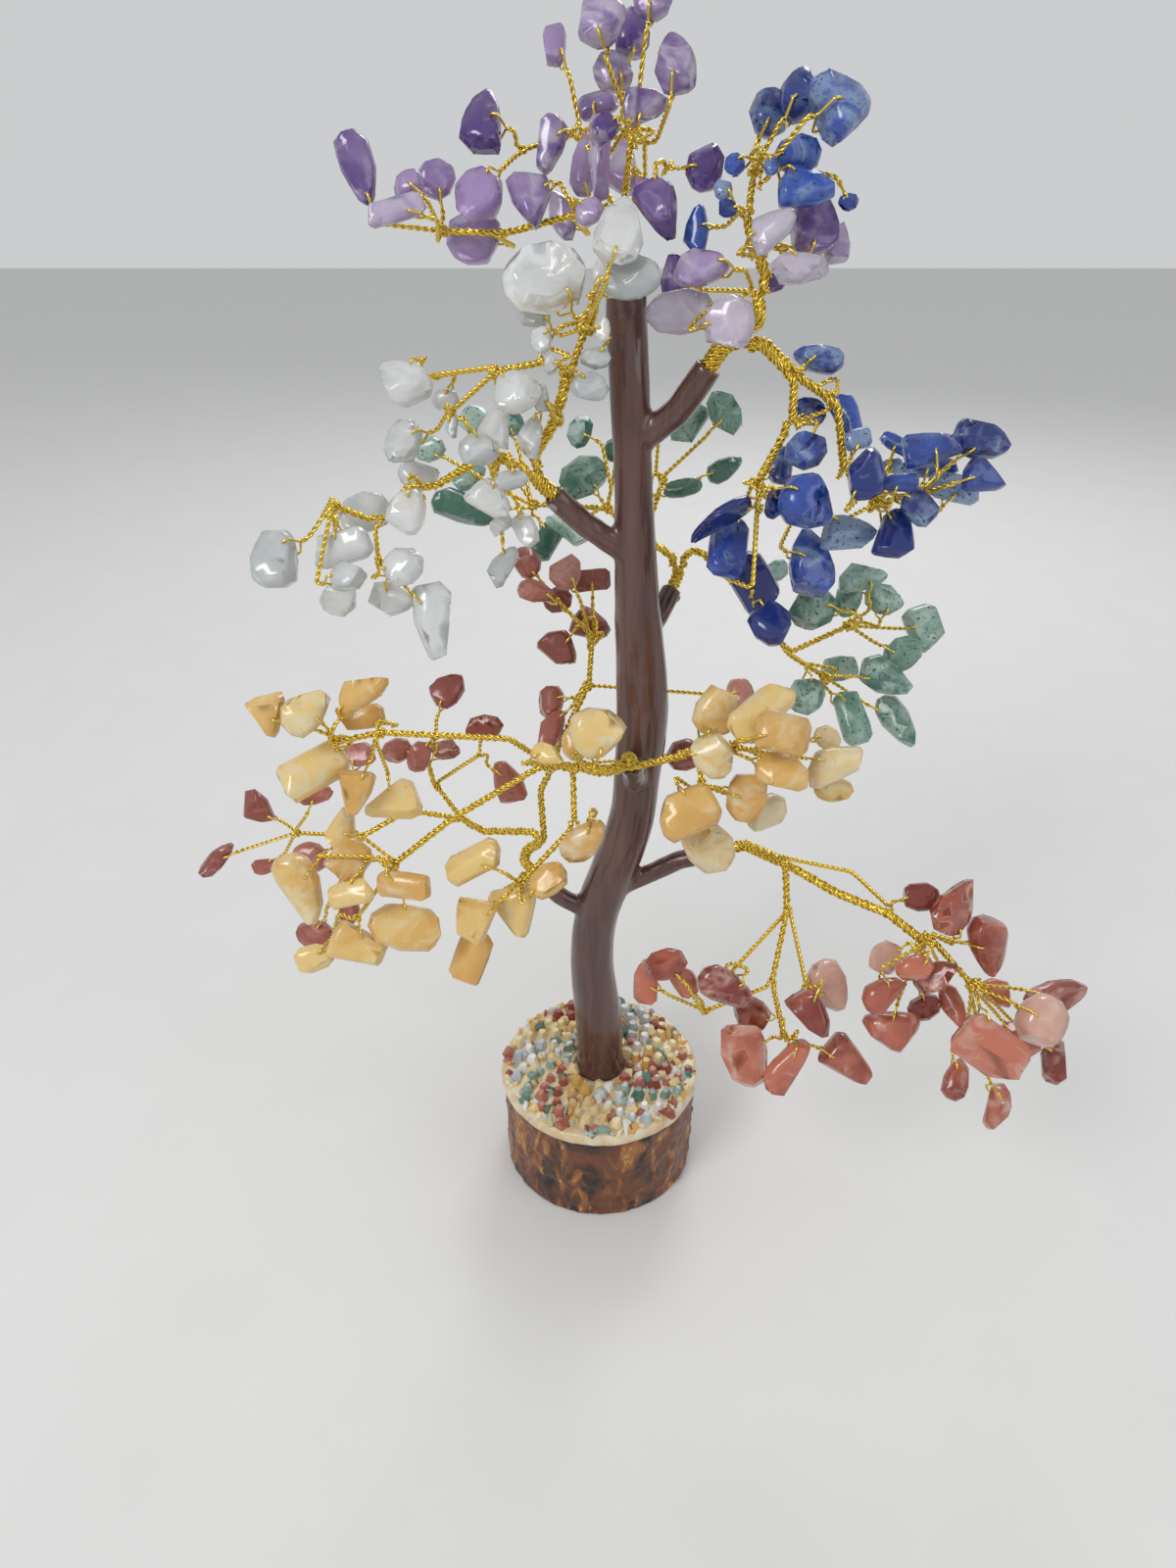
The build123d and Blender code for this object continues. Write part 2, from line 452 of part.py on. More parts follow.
# Wire routes: straight runs joined by tangent arcs
def route_radii(points, diameter):
    """Bend radius at each corner, or None where the wire could not be bent so."""
    radii = []
    for before, corner, after in zip(points, points[1:], points[2:]):
        turn = angle_between(minus(corner, before), minus(after, corner))
        if turn > SHARPEST_ANGLE:
            return None
        shorter = min(length(minus(corner, before)), length(minus(after, corner)))
        radius = 0.45 * shorter / math.tan(math.radians(turn / 2))
        if radius < diameter * BEND_LEAST_SHARE:
            return None
        radii.append(min(radius, BEND_RADIUS_MAX))
    return radii


def without_straight_points(points):
    """The same route without the points that hardly turn it."""
    kept = [points[0]]
    for corner, after in zip(points[1:], points[2:]):
        if length(minus(corner, kept[-1])) < WIRE_DIAMETER:
            continue
        if angle_between(minus(corner, kept[-1]), minus(after, corner)) > STRAIGHT_ANGLE:
            kept.append(corner)
    return kept + [points[-1]]


def walk(points, radii):
    """Points along the route, with the distance from its start."""
    track = [points[0]]
    for before, corner, after, radius in zip(points, points[1:], points[2:], radii):
        turn = angle_between(minus(corner, before), minus(after, corner))
        tangent = radius * math.tan(math.radians(turn / 2))
        enter = plus(corner, times(unit(minus(before, corner)), tangent))
        leave = plus(corner, times(unit(minus(after, corner)), tangent))
        weight = math.cos(math.radians(turn / 2))
        count = max(2, math.ceil(2 * tangent / WIRE_BALL_STEP))
        for step in range(count + 1):
            s = step / count
            shares = ((1 - s) ** 2, 2 * weight * s * (1 - s), s * s)
            total = sum(shares)
            spot = (0, 0, 0)
            for share, point in zip(shares, (enter, corner, leave)):
                spot = plus(spot, times(point, share / total))
            track.append(spot)
    track.append(points[-1])
    spots, run = [(track[0], 0)], 0
    for first, second in zip(track, track[1:]):
        gap = length(minus(second, first))
        count = max(1, math.ceil(gap / WIRE_BALL_STEP))
        for step in range(1, count + 1):
            spots.append((plus(first, times(minus(second, first), step / count)),
                          run + gap * step / count))
        run += gap
    return spots


class Wire:
    """A rod of wire along a route, from a fork to the next fork or to a stone's loop."""

    def __init__(self, points, diameter, start, end=None):
        self.points = without_straight_points(points)
        self.radii = route_radii(self.points, diameter)
        self.diameter = diameter
        self.start = start
        self.balls = []
        if self.radii is None:
            return
        spots = walk(self.points, self.radii)
        whole = spots[-1][1]
        for spot, run in spots:
            leaves = start.key if run < start.size + STEM_RUN else None
            meets = end if whole - run < diameter + STEM_RUN else None
            self.balls.append((spot, diameter / 2, (leaves, meets)))

    def bendable(self):
        return self.radii is not None

    def last_direction(self):
        return unit(minus(self.points[-1], self.points[-2]))

    def folds_back(self):
        """True if the wire turns back into the rod that it leaves."""
        half = self.diameter / 2
        for spot, _, _ in self.balls:
            gap = minus(spot, self.start.point)
            rise = dot(gap, self.start.direction)
            aside = length(minus(gap, times(self.start.direction, rise)))
            left = length(minus(spot, self.points[0])) > half + WIRE_BALL_STEP
            if left and rise < half and aside < half + self.start.size / 2:
                return True
        return False


class ForkEnd:
    """Where a rod ends and its children start: place, direction and size of the rod."""

    def __init__(self, key, point, direction, size):
        self.key = key
        self.point = point
        self.direction = direction
        self.size = size


def fan(direction):
    """Eight directions square to one."""
    first, second = side_axes(direction)
    angles = [math.radians(45 * eighth) for eighth in range(8)]
    return [plus(times(first, math.cos(a)), times(second, math.sin(a))) for a in angles]


def routes(begin, direction, end, way, size):
    """Possible routes that leave along one direction and arrive against another, if it is given."""
    gap = length(minus(end, begin))
    for stretch in LEAD_STRETCHES:
        lead = plus(begin, times(direction, min(LEAD_RUN * stretch + size / 2, gap * 0.45)))
        tail = [end]
        if way is not None:
            tail = [plus(end, times(way, min(TAIL_RUN, gap * 0.3))), end]
        yield [begin, lead] + tail
        straight = minus(tail[0], lead)
        if length(straight) > 2 * WIRE_DIAMETER:
            splays = sorted(fan(direction), key=lambda side: -dot(side, straight))
            for side in splays[:5]:
                for far in (1, 2):
                    yield [begin, lead, plus(lead, times(side, SPLAY * far))] + tail
            middle = plus(lead, times(straight, 0.5))
            for far in (1, 2):
                for side in fan(unit(straight)):
                    yield [begin, lead, plus(middle, times(side, BULGE * far))] + tail


def middles(points):
    """Balls at the middles of a twig's runs, which its arcs do not reach."""
    pairs = zip(points[1:], points[2:])
    return [(times(plus(a, b), 0.5), PAIR_DIAMETER / 2, (None, None)) for a, b in pairs]


# Stones
class Stone:
    """A drilled tumbled stone as the picture shows it, and the wire loop through its hole."""

    def __init__(self, row, number, depth_share):
        _, x_px, y_px, long_px, wide_px, turn, outline, near_share = row
        near_share += depth_share
        self.number = number
        self.middle = picture_point(x_px, y_px, near_share)
        self.long = picture_size(long_px, x_px, y_px, near_share)
        self.wide = picture_size(wide_px, x_px, y_px, near_share)
        self.thick = max(STONE_THINNEST, self.wide * STONE_THICK_SHARE)
        along = turned(VIEW_RIGHT, VIEW_BACK, turn)
        normal = VIEW_BACK
        if outline == "blade":
            self.thick = max(STONE_THINNEST, self.wide)
            self.wide = self.long * BLADE_WIDE_SHARE
            normal = cross(along, VIEW_BACK)
        across = cross(normal, along)
        normal = turned(normal, along, TILT_SWING * math.sin(math.radians(number * TILT_TURN)))
        swing = TILT_SWING * math.cos(math.radians(number * TILT_TURN * 2))
        self.along = turned(along, across, swing)
        normal = turned(normal, across, swing)
        self.normal = unit(cross(self.along, cross(normal, self.along)))
        self.across = cross(self.normal, self.along)
        self.outline = [(x * self.long / 2, y * self.wide / 2) for x, y in OUTLINE_SHARES[outline]]
        self.inset = self.thick / 2 * math.tan(math.radians(STONE_BEVEL))

    def inner_distance(self, x, y):
        """Distance from a point of the middle plane to the nearest side."""
        nearest = math.inf
        for (ax, ay), (bx, by) in zip(self.outline, self.outline[1:] + self.outline[:1]):
            run = math.hypot(bx - ax, by - ay)
            nearest = min(nearest, ((bx - ax) * (y - ay) - (by - ay) * (x - ax)) / run)
        return nearest

    def place(self, x, y, z=0):
        flat = plus(times(self.along, x), times(self.across, y))
        return plus(self.middle, plus(flat, times(self.normal, z)))

    def drill(self, target, swing):
        """Choose the hole near the side that faces the target, swung by an angle."""
        gap = minus(target, self.middle)
        heading = math.atan2(dot(gap, self.across), dot(gap, self.along)) + math.radians(swing)
        cos, sin = math.cos(heading), math.sin(heading)
        side = 0
        while self.inner_distance(side * cos, side * sin) > 0:
            side += WIRE_DIAMETER / 4
        needed = HOLE_DIAMETER / 2 + self.inset + HOLE_WALL
        hole, most = 0, self.inner_distance(0, 0)
        distance = side
        while distance > 0:
            inner = self.inner_distance(distance * cos, distance * sin)
            if inner >= min(needed, most):
                hole = distance
                break
            distance -= WIRE_DIAMETER / 4
        self.hole = (hole * cos, hole * sin)
        self.way = plus(times(self.along, cos), times(self.across, sin))
        self.rim = side - hole
        return self.inner_distance(*self.hole) > HOLE_DIAMETER / 2 + self.inset

    def loop_end(self):
        return plus(self.place(*self.hole), times(self.way, self.rim + LOOP_REACH))

    def loop_points(self):
        """Route of the loop: out along one face, through the hole, back along the other."""
        side = WIRE_DIAMETER / 2 + WIRE_DIAMETER / 20
        high = self.thick / 2 + WIRE_DIAMETER / 2 + LOOP_AIR
        end = self.rim + LOOP_REACH
        flat = ((end, side), (end - LOOP_LEAD, side), (self.rim - self.inset / 3, high), (0, high),
                (0, -high), (self.rim - self.inset / 3, -high), (end - LOOP_LEAD, -side),
                (end, -side))
        start = self.place(*self.hole)
        return [plus(start, plus(times(self.way, a), times(self.normal, b))) for a, b in flat]

    def loop_balls(self):
        balls = []
        points = self.loop_points()
        for first, second in zip(points, points[1:]):
            count = max(1, math.ceil(length(minus(second, first)) / WIRE_BALL_STEP))
            for step in range(count):
                spot = plus(first, times(minus(second, first), step / count))
                balls.append((spot, WIRE_DIAMETER / 2, (None, None)))
        return balls

    def balls(self):
        """Balls that fill the stone."""
        found = []
        lean = math.tan(math.radians(STONE_BEVEL))
        half = self.thick / 2
        high = max(0, half - STONE_BALL / 2)
        layers = max(1, math.ceil(2 * high / STONE_BALL_STEP))
        columns = math.ceil(self.long / 2 / STONE_BALL_STEP)
        rows = math.ceil(self.wide / 2 / STONE_BALL_STEP)
        for layer in range(layers + 1):
            z = -high + 2 * high * layer / layers
            for i in range(-columns, columns + 1):
                for j in range(-rows, rows + 1):
                    x, y = i * STONE_BALL_STEP, j * STONE_BALL_STEP
                    side = self.inner_distance(x, y) - abs(z) * lean
                    if side > STONE_BALL_OVER:
                        room = min(side, half - abs(z)) + STONE_BALL_OVER
                        found.append((self.place(x, y, z), min(STONE_BALL, room), (None, None)))
        return found


# Forks
def ring_radius(sizes):
    """Radius of the ring on which round ends of these diameters lie side by side."""
    if len(sizes) == 1:
        return 0
    halves = [size / 2 + RING_AIR / 2 for size in sizes]
    low, high = max(halves), sum(halves)
    for _ in range(40):
        middle = (low + high) / 2
        if sum(2 * math.asin(min(1, half / middle)) for half in halves) > 2 * math.pi:
            low = middle
        else:
            high = middle
    return high


def ring_places(sizes, headings):
    """Place on the ring, as an angle, of each round end; they follow their headings' order."""
    radius = ring_radius(sizes)
    if radius == 0:
        return radius, [0 for _ in sizes]
    order = sorted(range(len(sizes)), key=lambda index: headings[index])
    spans = [2 * math.asin(min(1, (sizes[i] + RING_AIR) / 2 / radius)) for i in order]
    spare = (2 * math.pi - sum(spans)) / len(order)
    places, edge = {}, 0
    for index, span in zip(order, spans):
        places[index] = edge + span / 2
        edge += span + spare
    drift = (sum(math.sin(headings[i] - places[i]) for i in order),
             sum(math.cos(headings[i] - places[i]) for i in order))
    turn = math.atan2(*drift)
    return radius, [places[index] + turn for index in range(len(sizes))]


def side_axes(direction):
    """Two axes square to a direction."""
    helper = (0, 0, 1) if abs(direction[2]) < 0.8 else (1, 0, 0)
    first = unit(cross(helper, direction))
    return first, cross(direction, first)


def bundle_diameter(pairs):
    if pairs == 1:
        return PAIR_DIAMETER
    return PAIR_DIAMETER * BUNDLE_PACKING * math.sqrt(pairs)


class Branch:
    """One branch: its bundle and boughs between forks, then a twig and a stone for each pair."""

    def __init__(self, name, mouth, direction, rows):
        self.name = name
        self.mouth = mouth
        self.direction = direction
        self.rows = rows
        self.forks = FORKS_PX_AND_SHARES[name]
        self.places = [mouth] + [picture_point(x, y, near) for _, x, y, near in self.forks]
        self.boughs = {}
        self.stones = []
        self.twigs = []
        self.slots = {}

    def children(self, fork):
        boughs = [i + 1 for i, row in enumerate(self.forks) if row[0] == fork]
        stones = [i for i, row in enumerate(self.rows) if row[0] == fork]
        return boughs, stones

    def pairs(self, fork):
        """Number of wire pairs that pass through a fork."""
        boughs, stones = self.children(fork)
        return len(stones) + sum(self.pairs(bough) for bough in boughs)

    def root_diameter(self):
        return bundle_diameter(self.pairs(0)) - ROOT_LESS

    def stub_diameter(self):
        return bundle_diameter(self.pairs(0)) + 2 * MOUTH_LIP

    def lay_boughs(self, room):
        """Route the rods between forks and give each twig its place at its fork."""
        stem = bundle_diameter(self.pairs(0))
        start = plus(self.mouth, times(self.direction, self.root_diameter() / 2 + BEND_AIR))
        self.ends = {0: ForkEnd((self.name, 0), start, self.direction, stem)}
        for fork in range(len(self.places)):
            boughs, stones = self.children(fork)
            end = self.ends[fork]
            first, second = side_axes(end.direction)
            sizes = [bundle_diameter(self.pairs(bough)) for bough in boughs]
            sizes += [PAIR_DIAMETER for _ in stones]
            targets = [self.places[bough] for bough in boughs]
            targets += [picture_point(*self.rows[i][1:3], self.rows[i][7]) for i in stones]
            gaps = [minus(target, end.point) for target in targets]
            headings = [math.atan2(dot(gap, second), dot(gap, first)) for gap in gaps]
            ring, angles = ring_places(sizes, headings)
            for index, angle in enumerate(angles):
                outward = plus(times(first, ring * math.cos(angle)),
                               times(second, ring * math.sin(angle)))
                begin = plus(end.point, outward)
                if index < len(boughs):
                    self.lay_bough(end, boughs[index], begin, sizes[index], room)
                else:
                    astray = 1 - math.cos(angle - headings[index])
                    self.slots[stones[index - len(boughs)]] = (begin, end, (fork, astray))

    def lay_bough(self, end, child, begin, size, room):
        """Rod from a fork to the next: it leaves along the earlier rod and bends over."""
        key = (self.name, child)
        spare = None
        for points in routes(begin, end.direction, self.places[child], None, size):
            bough = Wire(points, size, end, key)
            if not bough.bendable():
                continue
            spare = spare or bough
            if not bough.folds_back() and room.clear(bough.balls, self.name, "wire"):
                break
        else:
            print("crowded rod", key)
            bough = spare or Wire([begin, self.places[child]], size, end, key)
        room.add(bough.balls, self.name, "wire")
        self.boughs[child] = bough
        self.ends[child] = ForkEnd(key, self.places[child], bough.last_direction(), size)

    def set_stone(self, index, room, beside=False):
        """Find the nearest depth at which stone, loop and twig are all clear."""
        tries = 0
        for step in range(2 * DEPTH_STEPS + 1):
            side = (step + 1) // 2 * (1 if step % 2 else -1)
            stone = Stone(self.rows[index], index, side * DEPTH_STEP / EYE_DISTANCE)
            balls = stone.balls()
            if not room.clear(balls, self.name, "stone"):
                continue
            slots = self.side_slots(stone.middle, room) if beside else [self.slots[index][:2]]
            for begin, end in slots:
                for swing in (0, 40, -40, 90, -90):
                    if not stone.drill(begin, swing):
                        continue
                    if not room.clear(stone.loop_balls(), self.name, "loop"):
                        continue
                    for points in routes(begin, end.direction, stone.loop_end(), stone.way,
                                         PAIR_DIAMETER):
                        if not room.clear(middles(points), self.name, "wire"):
                            continue
                        twig = Wire(points, PAIR_DIAMETER, end)
                        tries += twig.bendable()
                        if self.fits(twig, stone, room):
                            self.keep(stone, twig, balls, room)
                            return True
                        if tries > MOST_TRIES:
                            return False
        return False

    def side_slots(self, target, room):
        """Clear places against the rods of the branch, nearest to a target first."""
        slots = []
        for wire in self.boughs.values():
            spots = walk(wire.points, wire.radii)
            away = (wire.diameter + PAIR_DIAMETER) / 2 + RING_AIR
            for (before, _), (spot, _) in zip(spots[::SIDE_SKIP], spots[SIDE_SKIP::SIDE_SKIP]):
                direction = unit(minus(spot, before))
                for side in fan(direction):
                    begin = plus(spot, times(side, away))
                    slots.append((length(minus(target, begin)), begin, direction))
        clear = []
        for _, begin, direction in sorted(slots)[:SIDE_SLOTS * 4]:
            lead = plus(begin, times(direction, LEAD_RUN))
            balls = [(point, PAIR_DIAMETER / 2, (None, None)) for point in (begin, lead)]
            if room.clear(balls, self.name, "wire"):
                clear.append((begin, ForkEnd(None, begin, direction, 0)))
        return clear[:SIDE_SLOTS]

    def fits(self, twig, stone, room):
        if not twig.bendable() or twig.folds_back():
            return False
        if not all(self.outside(ball[0], stone) for ball in twig.balls):
            return False
        return room.clear(twig.balls, self.name, "wire")

    @staticmethod
    def outside(point, stone):
        """True if a twig's point clears its own stone."""
        gap = minus(point, stone.middle)
        room = PAIR_DIAMETER / 2 + STONE_AIR
        if abs(dot(gap, stone.normal)) > stone.thick / 2 + room:
            return True
        return stone.inner_distance(dot(gap, stone.along), dot(gap, stone.across)) < -room

    def keep(self, stone, twig, balls, room):
        room.add(balls, self.name, "stone")
        room.add(stone.loop_balls(), self.name, "loop")
        room.add(twig.balls, self.name, "wire")
        self.stones.append(stone)
        self.twigs.append(twig)


# Trunk's middle line and the stubs
TRUNK_LINE = [picture_point(x, y, near) for x, y, near, _ in TRUNK_PX_AND_SHARES]
TRUNK_WIDTHS = [picture_size(width, x, y, near) for x, y, near, width in TRUNK_PX_AND_SHARES]


def stub_points(name):
    row = STUBS_PX_AND_SHARES[name]
    if row is None:
        return TRUNK_LINE[-3:]
    return [picture_point(*place) for place in row]


def trunk_balls():
    balls = []
    for first, second, wide, narrow in zip(TRUNK_LINE, TRUNK_LINE[1:], TRUNK_WIDTHS,
                                           TRUNK_WIDTHS[1:]):
        count = math.ceil(length(minus(second, first)) / WIRE_DIAMETER / 5)
        for step in range(count):
            share = step / count
            spot = plus(first, times(minus(second, first), share))
            meets = None
            if length(minus(spot, TRUNK_LINE[-1])) < narrow + STEM_RUN:
                meets = ("amethyst", 0)
            balls.append((spot, (wide + (narrow - wide) * share) / 2, (None, meets)))
    return balls


def stub_balls(name, points, diameter):
    balls = []
    for first, second in zip(points, points[1:]):
        count = math.ceil(length(minus(second, first)) / WIRE_DIAMETER / 3)
        for step in range(count):
            spot = plus(first, times(minus(second, first), step / count))
            meets = None
            if length(minus(spot, points[-1])) < diameter + STEM_RUN:
                meets = (name, 0)
            balls.append((spot, diameter / 2, (None, meets)))
    return balls


def lay_out():
    """Place every branch; returns the branches by name."""
    room = Room()
    room.add(trunk_balls(), "trunk", "trunk")
    branches = {}
    for name in STUBS_PX_AND_SHARES:
        points = stub_points(name)
        rows = STONES_PX_AND_SHARES[name]
        if name == "lapis":
            rows = rows + LAPIS_BRANCH_AMETHYSTS_PX_AND_SHARES
        branch = Branch(name, points[-1], unit(minus(points[-1], points[-2])), rows)
        branches[name] = branch
        room.add(stub_balls(name, points, branch.stub_diameter()), name, "stub")
    for branch in branches.values():
        branch.lay_boughs(room)
    for branch in branches.values():
        order = sorted(branch.slots, key=lambda stone: branch.slots[stone][2])
        left = [index for index in order if not branch.set_stone(index, room)]
        for index in left:
            if not branch.set_stone(index, room, beside=True):
                print("no clear place for", branch.name, "stone", index)
    return branches


# Solids
def frame_at(point, direction):
    return Plane(origin=point, x_dir=unit(cross((0, 1, 0), direction)), z_dir=direction)


def rod(points, radii, diameter):
    """Round rod along straight runs and tangent arcs."""
    with BuildPart() as wire:
        with BuildLine() as path:
            if radii:
                FilletPolyline(*points, radius=radii)
            else:
                Line(*points)
        with BuildSketch(Plane(origin=points[0], z_dir=minus(points[1], points[0]))):
            Circle(diameter / 2)
        sweep()
    return wire.part


def wire_rod(wire):
    return rod(wire.points, wire.radii, wire.diameter)


def loop_rod(stone):
    """Single strand through a stone's hole, its two ends side by side at the twig."""
    points = stone.loop_points()
    radii = []
    for before, corner, after in zip(points, points[1:], points[2:]):
        turn = angle_between(minus(corner, before), minus(after, corner))
        shorter = min(length(minus(corner, before)), length(minus(after, corner)))
        radii.append(min(LOOP_BEND, 0.45 * shorter / math.tan(math.radians(turn / 2))))
    return rod(points, radii, WIRE_DIAMETER)


def stone_solid(stone):
    """Tumbled stone with sloping sides, worn down evenly round its drilled hole."""
    face = Plane(origin=stone.place(*stone.hole), x_dir=stone.along, z_dir=stone.normal)
    left, low = stone.hole
    worn = [((x - left) * WORN_SHARE, (y - low) * WORN_SHARE) for x, y in stone.outline]
    thick = stone.thick * WORN_SHARE
    with BuildPart() as chip:
        with BuildSketch(face):
            with BuildLine():
                Polyline(*worn, close=True)
            make_face()
        extrude(amount=thick / 2, both=True, taper=STONE_BEVEL)
        with BuildSketch(face):
            Circle(HOLE_DIAMETER * WORN_SHARE / 2)
        extrude(amount=thick, both=True, mode=Mode.SUBTRACT)
    return chip.part


def limb(points, diameters):
    """Round solid that follows a line and changes its diameter on the way."""
    with BuildPart() as solid:
        for index, (point, diameter) in enumerate(zip(points, diameters)):
            before = points[max(0, index - 1)]
            after = points[min(len(points) - 1, index + 1)]
            with BuildSketch(frame_at(point, minus(after, before))):
                Circle(diameter / 2)
        loft()
    return solid.part


def gravel_stone(number, x, y):
    """Crushed stone that lies on the bed."""
    half = GRAVEL_SIZE * GRAVEL_SIZE_SHARES[number % len(GRAVEL_SIZE_SHARES)] / 2
    corners = []
    for corner, share in enumerate(GRAVEL_OUTLINE_SHARES):
        angle = math.radians(360 / len(GRAVEL_OUTLINE_SHARES) * corner + GRAVEL_TURN * number)
        corners.append((x + half * share * math.cos(angle), y + half * share * math.sin(angle)))
    with BuildPart() as chip:
        with BuildSketch(Plane.XY.offset(BED_TOP)):
            with BuildLine():
                Polyline(*corners, close=True)
            make_face()
        extrude(amount=half * 2 * GRAVEL_RISE_SHARE, taper=GRAVEL_BEVEL)
    return chip.part


def group(name, solids):
    """Separate solids kept together under one name."""
    for number, solid in enumerate(solids, 1):
        solid.label = f"{name}_{number}"
    return Compound(label=name, children=solids)


def save_group(name, solids):
    export_step(group(name, solids), f"parts/{name}.step")


os.makedirs("parts", exist_ok=True)
BRANCHES = lay_out()
BED_TOP = BASE_HEIGHT - GRAVEL_SIZE * GRAVEL_RISE_SHARE

# Wood slice, drilled for the trunk's wire core
with BuildPart() as wood_slice:
    with BuildSketch():
        Circle(WOOD_DIAMETER / 2)
    extrude(amount=WOOD_HEIGHT)
    chamfer(wood_slice.edges().group_by(Axis.Z)[0], WOOD_EDGE)
    with Locations((0, 0, WOOD_HEIGHT)):
        Hole(CORE_DIAMETER / 2 + CORE_FIT, CORE_DEPTH)
wood_slice.part.label = "wood_slice"
export_step(wood_slice.part, "parts/wood_slice.step")

# Ring of bark round the slice, uneven on the outside
BARK_RADIUS = WOOD_DIAMETER / 2 + BARK_THICKNESS
BARK_POINTS = []
for lump in range(BARK_LUMPS):
    angle = math.radians(360 * lump / BARK_LUMPS)
    swell = BARK_SWELL * math.sin(math.radians(GRAVEL_TURN * lump))
    BARK_POINTS.append(((BARK_RADIUS + swell) * math.cos(angle),
                        (BARK_RADIUS + swell) * math.sin(angle)))
with BuildPart() as bark:
    with BuildSketch():
        with BuildLine():
            Spline(*BARK_POINTS, periodic=True)
        make_face()
        Circle(WOOD_DIAMETER / 2 + BARK_FIT, mode=Mode.SUBTRACT)
    extrude(amount=WOOD_HEIGHT)
bark.part.label = "bark"
export_step(bark.part, "parts/bark.step")

# Resin bed poured over the slice, round the trunk's foot
with BuildPart() as resin_bed:
    with BuildSketch(Plane.XY.offset(WOOD_HEIGHT)):
        Circle(BED_DIAMETER / 2)
        Circle(FOOT_DIAMETER / 2 + FOOT_FIT, mode=Mode.SUBTRACT)
    extrude(amount=BED_TOP - WOOD_HEIGHT)
    fillet(resin_bed.edges().group_by(Axis.Z)[-1].sort_by(SortBy.RADIUS)[-1], BED_EDGE)
resin_bed.part.label = "resin_bed"
export_step(resin_bed.part, "parts/resin_bed.step")

# Crushed stones on the bed, wound outwards from the foot
GRAVEL = {colour: [] for colour in GRAVEL_COLOURS}
GRAVEL_STEP = (GRAVEL_SIZE + GRAVEL_AIR) * GRAVEL_REACH_SHARE
GRAVEL_INNER = FOOT_DIAMETER / 2 + FOOT_FIT + GRAVEL_SIZE / 2 + GRAVEL_AIR
GRAVEL_OUTER = BED_DIAMETER / 2 - BED_EDGE - GRAVEL_SIZE / 2
GRAVEL_FIRST = math.ceil((GRAVEL_INNER / GRAVEL_STEP) ** 2)
GRAVEL_LAST = math.floor((GRAVEL_OUTER / GRAVEL_STEP) ** 2)
for number in range(GRAVEL_FIRST, GRAVEL_LAST):
    angle, reach = math.radians(GRAVEL_TURN * number), GRAVEL_STEP * math.sqrt(number)
    colour = GRAVEL_COLOURS[number * 3 % len(GRAVEL_COLOURS)]
    chip = gravel_stone(number, reach * math.cos(angle), reach * math.sin(angle))
    GRAVEL[colour].append(chip)
for colour, chips in GRAVEL.items():
    save_group(f"{colour}_gravel", chips)

# Wire core of the trunk, glued into the slice and hidden by the coat
NECK = (0, 0, BED_TOP + FOOT_STEP)
CORE_LINE = without_straight_points([(0, 0, WOOD_HEIGHT - CORE_DEPTH), NECK] + TRUNK_LINE[:-2])
CORE_RADII = route_radii(CORE_LINE, CORE_DIAMETER)
trunk_wire_core = rod(CORE_LINE, CORE_RADII, CORE_DIAMETER)
trunk_wire_core.label = "trunk_wire_core"
export_step(trunk_wire_core, "parts/trunk_wire_core.step")

# Coat of the trunk: flared foot, stem and stubs, with a socket in each mouth
CORE_CHANNEL = rod(CORE_LINE, CORE_RADII, CORE_DIAMETER + 2 * CORE_FIT)
STEM = limb([(0, 0, WOOD_HEIGHT + FOOT_STEP), NECK] + TRUNK_LINE,
            [FOOT_DIAMETER - FOOT_STEP] * 2 + TRUNK_WIDTHS)
STUBS = []
for name, branch in BRANCHES.items():
    if STUBS_PX_AND_SHARES[name]:
        mouth = branch.stub_diameter()
        STUBS.append(rod(stub_points(name), route_radii(stub_points(name), mouth), mouth))
with BuildPart() as trunk_coat:
    with BuildSketch(Plane.XY.offset(WOOD_HEIGHT)):
        Circle(FOOT_DIAMETER / 2)
    extrude(amount=NECK[2] - WOOD_HEIGHT)
    add(STEM)
    add(STUBS)
    add(CORE_CHANNEL, mode=Mode.SUBTRACT)
    for branch in BRANCHES.values():
        with BuildSketch(frame_at(branch.mouth, branch.direction)):
            Circle(branch.root_diameter() / 2 + SOCKET_FIT)
        extrude(amount=-SOCKET_DEPTH, mode=Mode.SUBTRACT)
trunk_coat.part.label = "trunk_coat"
export_step(trunk_coat.part, "parts/trunk_coat.step")

# Roots of the seven bundles, with a round end on which the free wire bends
for name, branch in BRANCHES.items():
    half = branch.root_diameter() / 2
    with BuildPart() as root:
        with BuildSketch(frame_at(branch.mouth, branch.direction)):
            Circle(half)
        extrude(amount=-SOCKET_DEPTH)
        extrude(root.faces().sort_by(Axis(branch.mouth, branch.direction))[-1], amount=half)
        fillet(root.edges().sort_by(Axis(branch.mouth, branch.direction))[-1],
               half * ROOT_ROUND_SHARE)
    root.part.label = f"{name}_wire_root"
    export_step(root.part, f"parts/{name}_wire_root.step")

# Branches: the bundle up to the first fork, boughs, twigs, loops and stones
for name, branch in BRANCHES.items():
    bundle = wire_rod(branch.boughs[1])
    bundle.label = f"{name}_bundle"
    export_step(bundle, f"parts/{name}_bundle.step")
    save_group(f"{name}_boughs", [wire_rod(branch.boughs[child]) for child in
                                  range(2, len(branch.places))])
    save_group(f"{name}_twigs", [wire_rod(twig) for twig in branch.twigs])
    save_group(f"{name}_loops", [loop_rod(stone) for stone in branch.stones])
    own = len(STONES_PX_AND_SHARES[name])
    save_group(f"{name}_stones", [stone_solid(s) for s in branch.stones if s.number < own])
    guests = [stone_solid(s) for s in branch.stones if s.number >= own]
    if guests:
        save_group(f"{name}_branch_amethysts", guests)
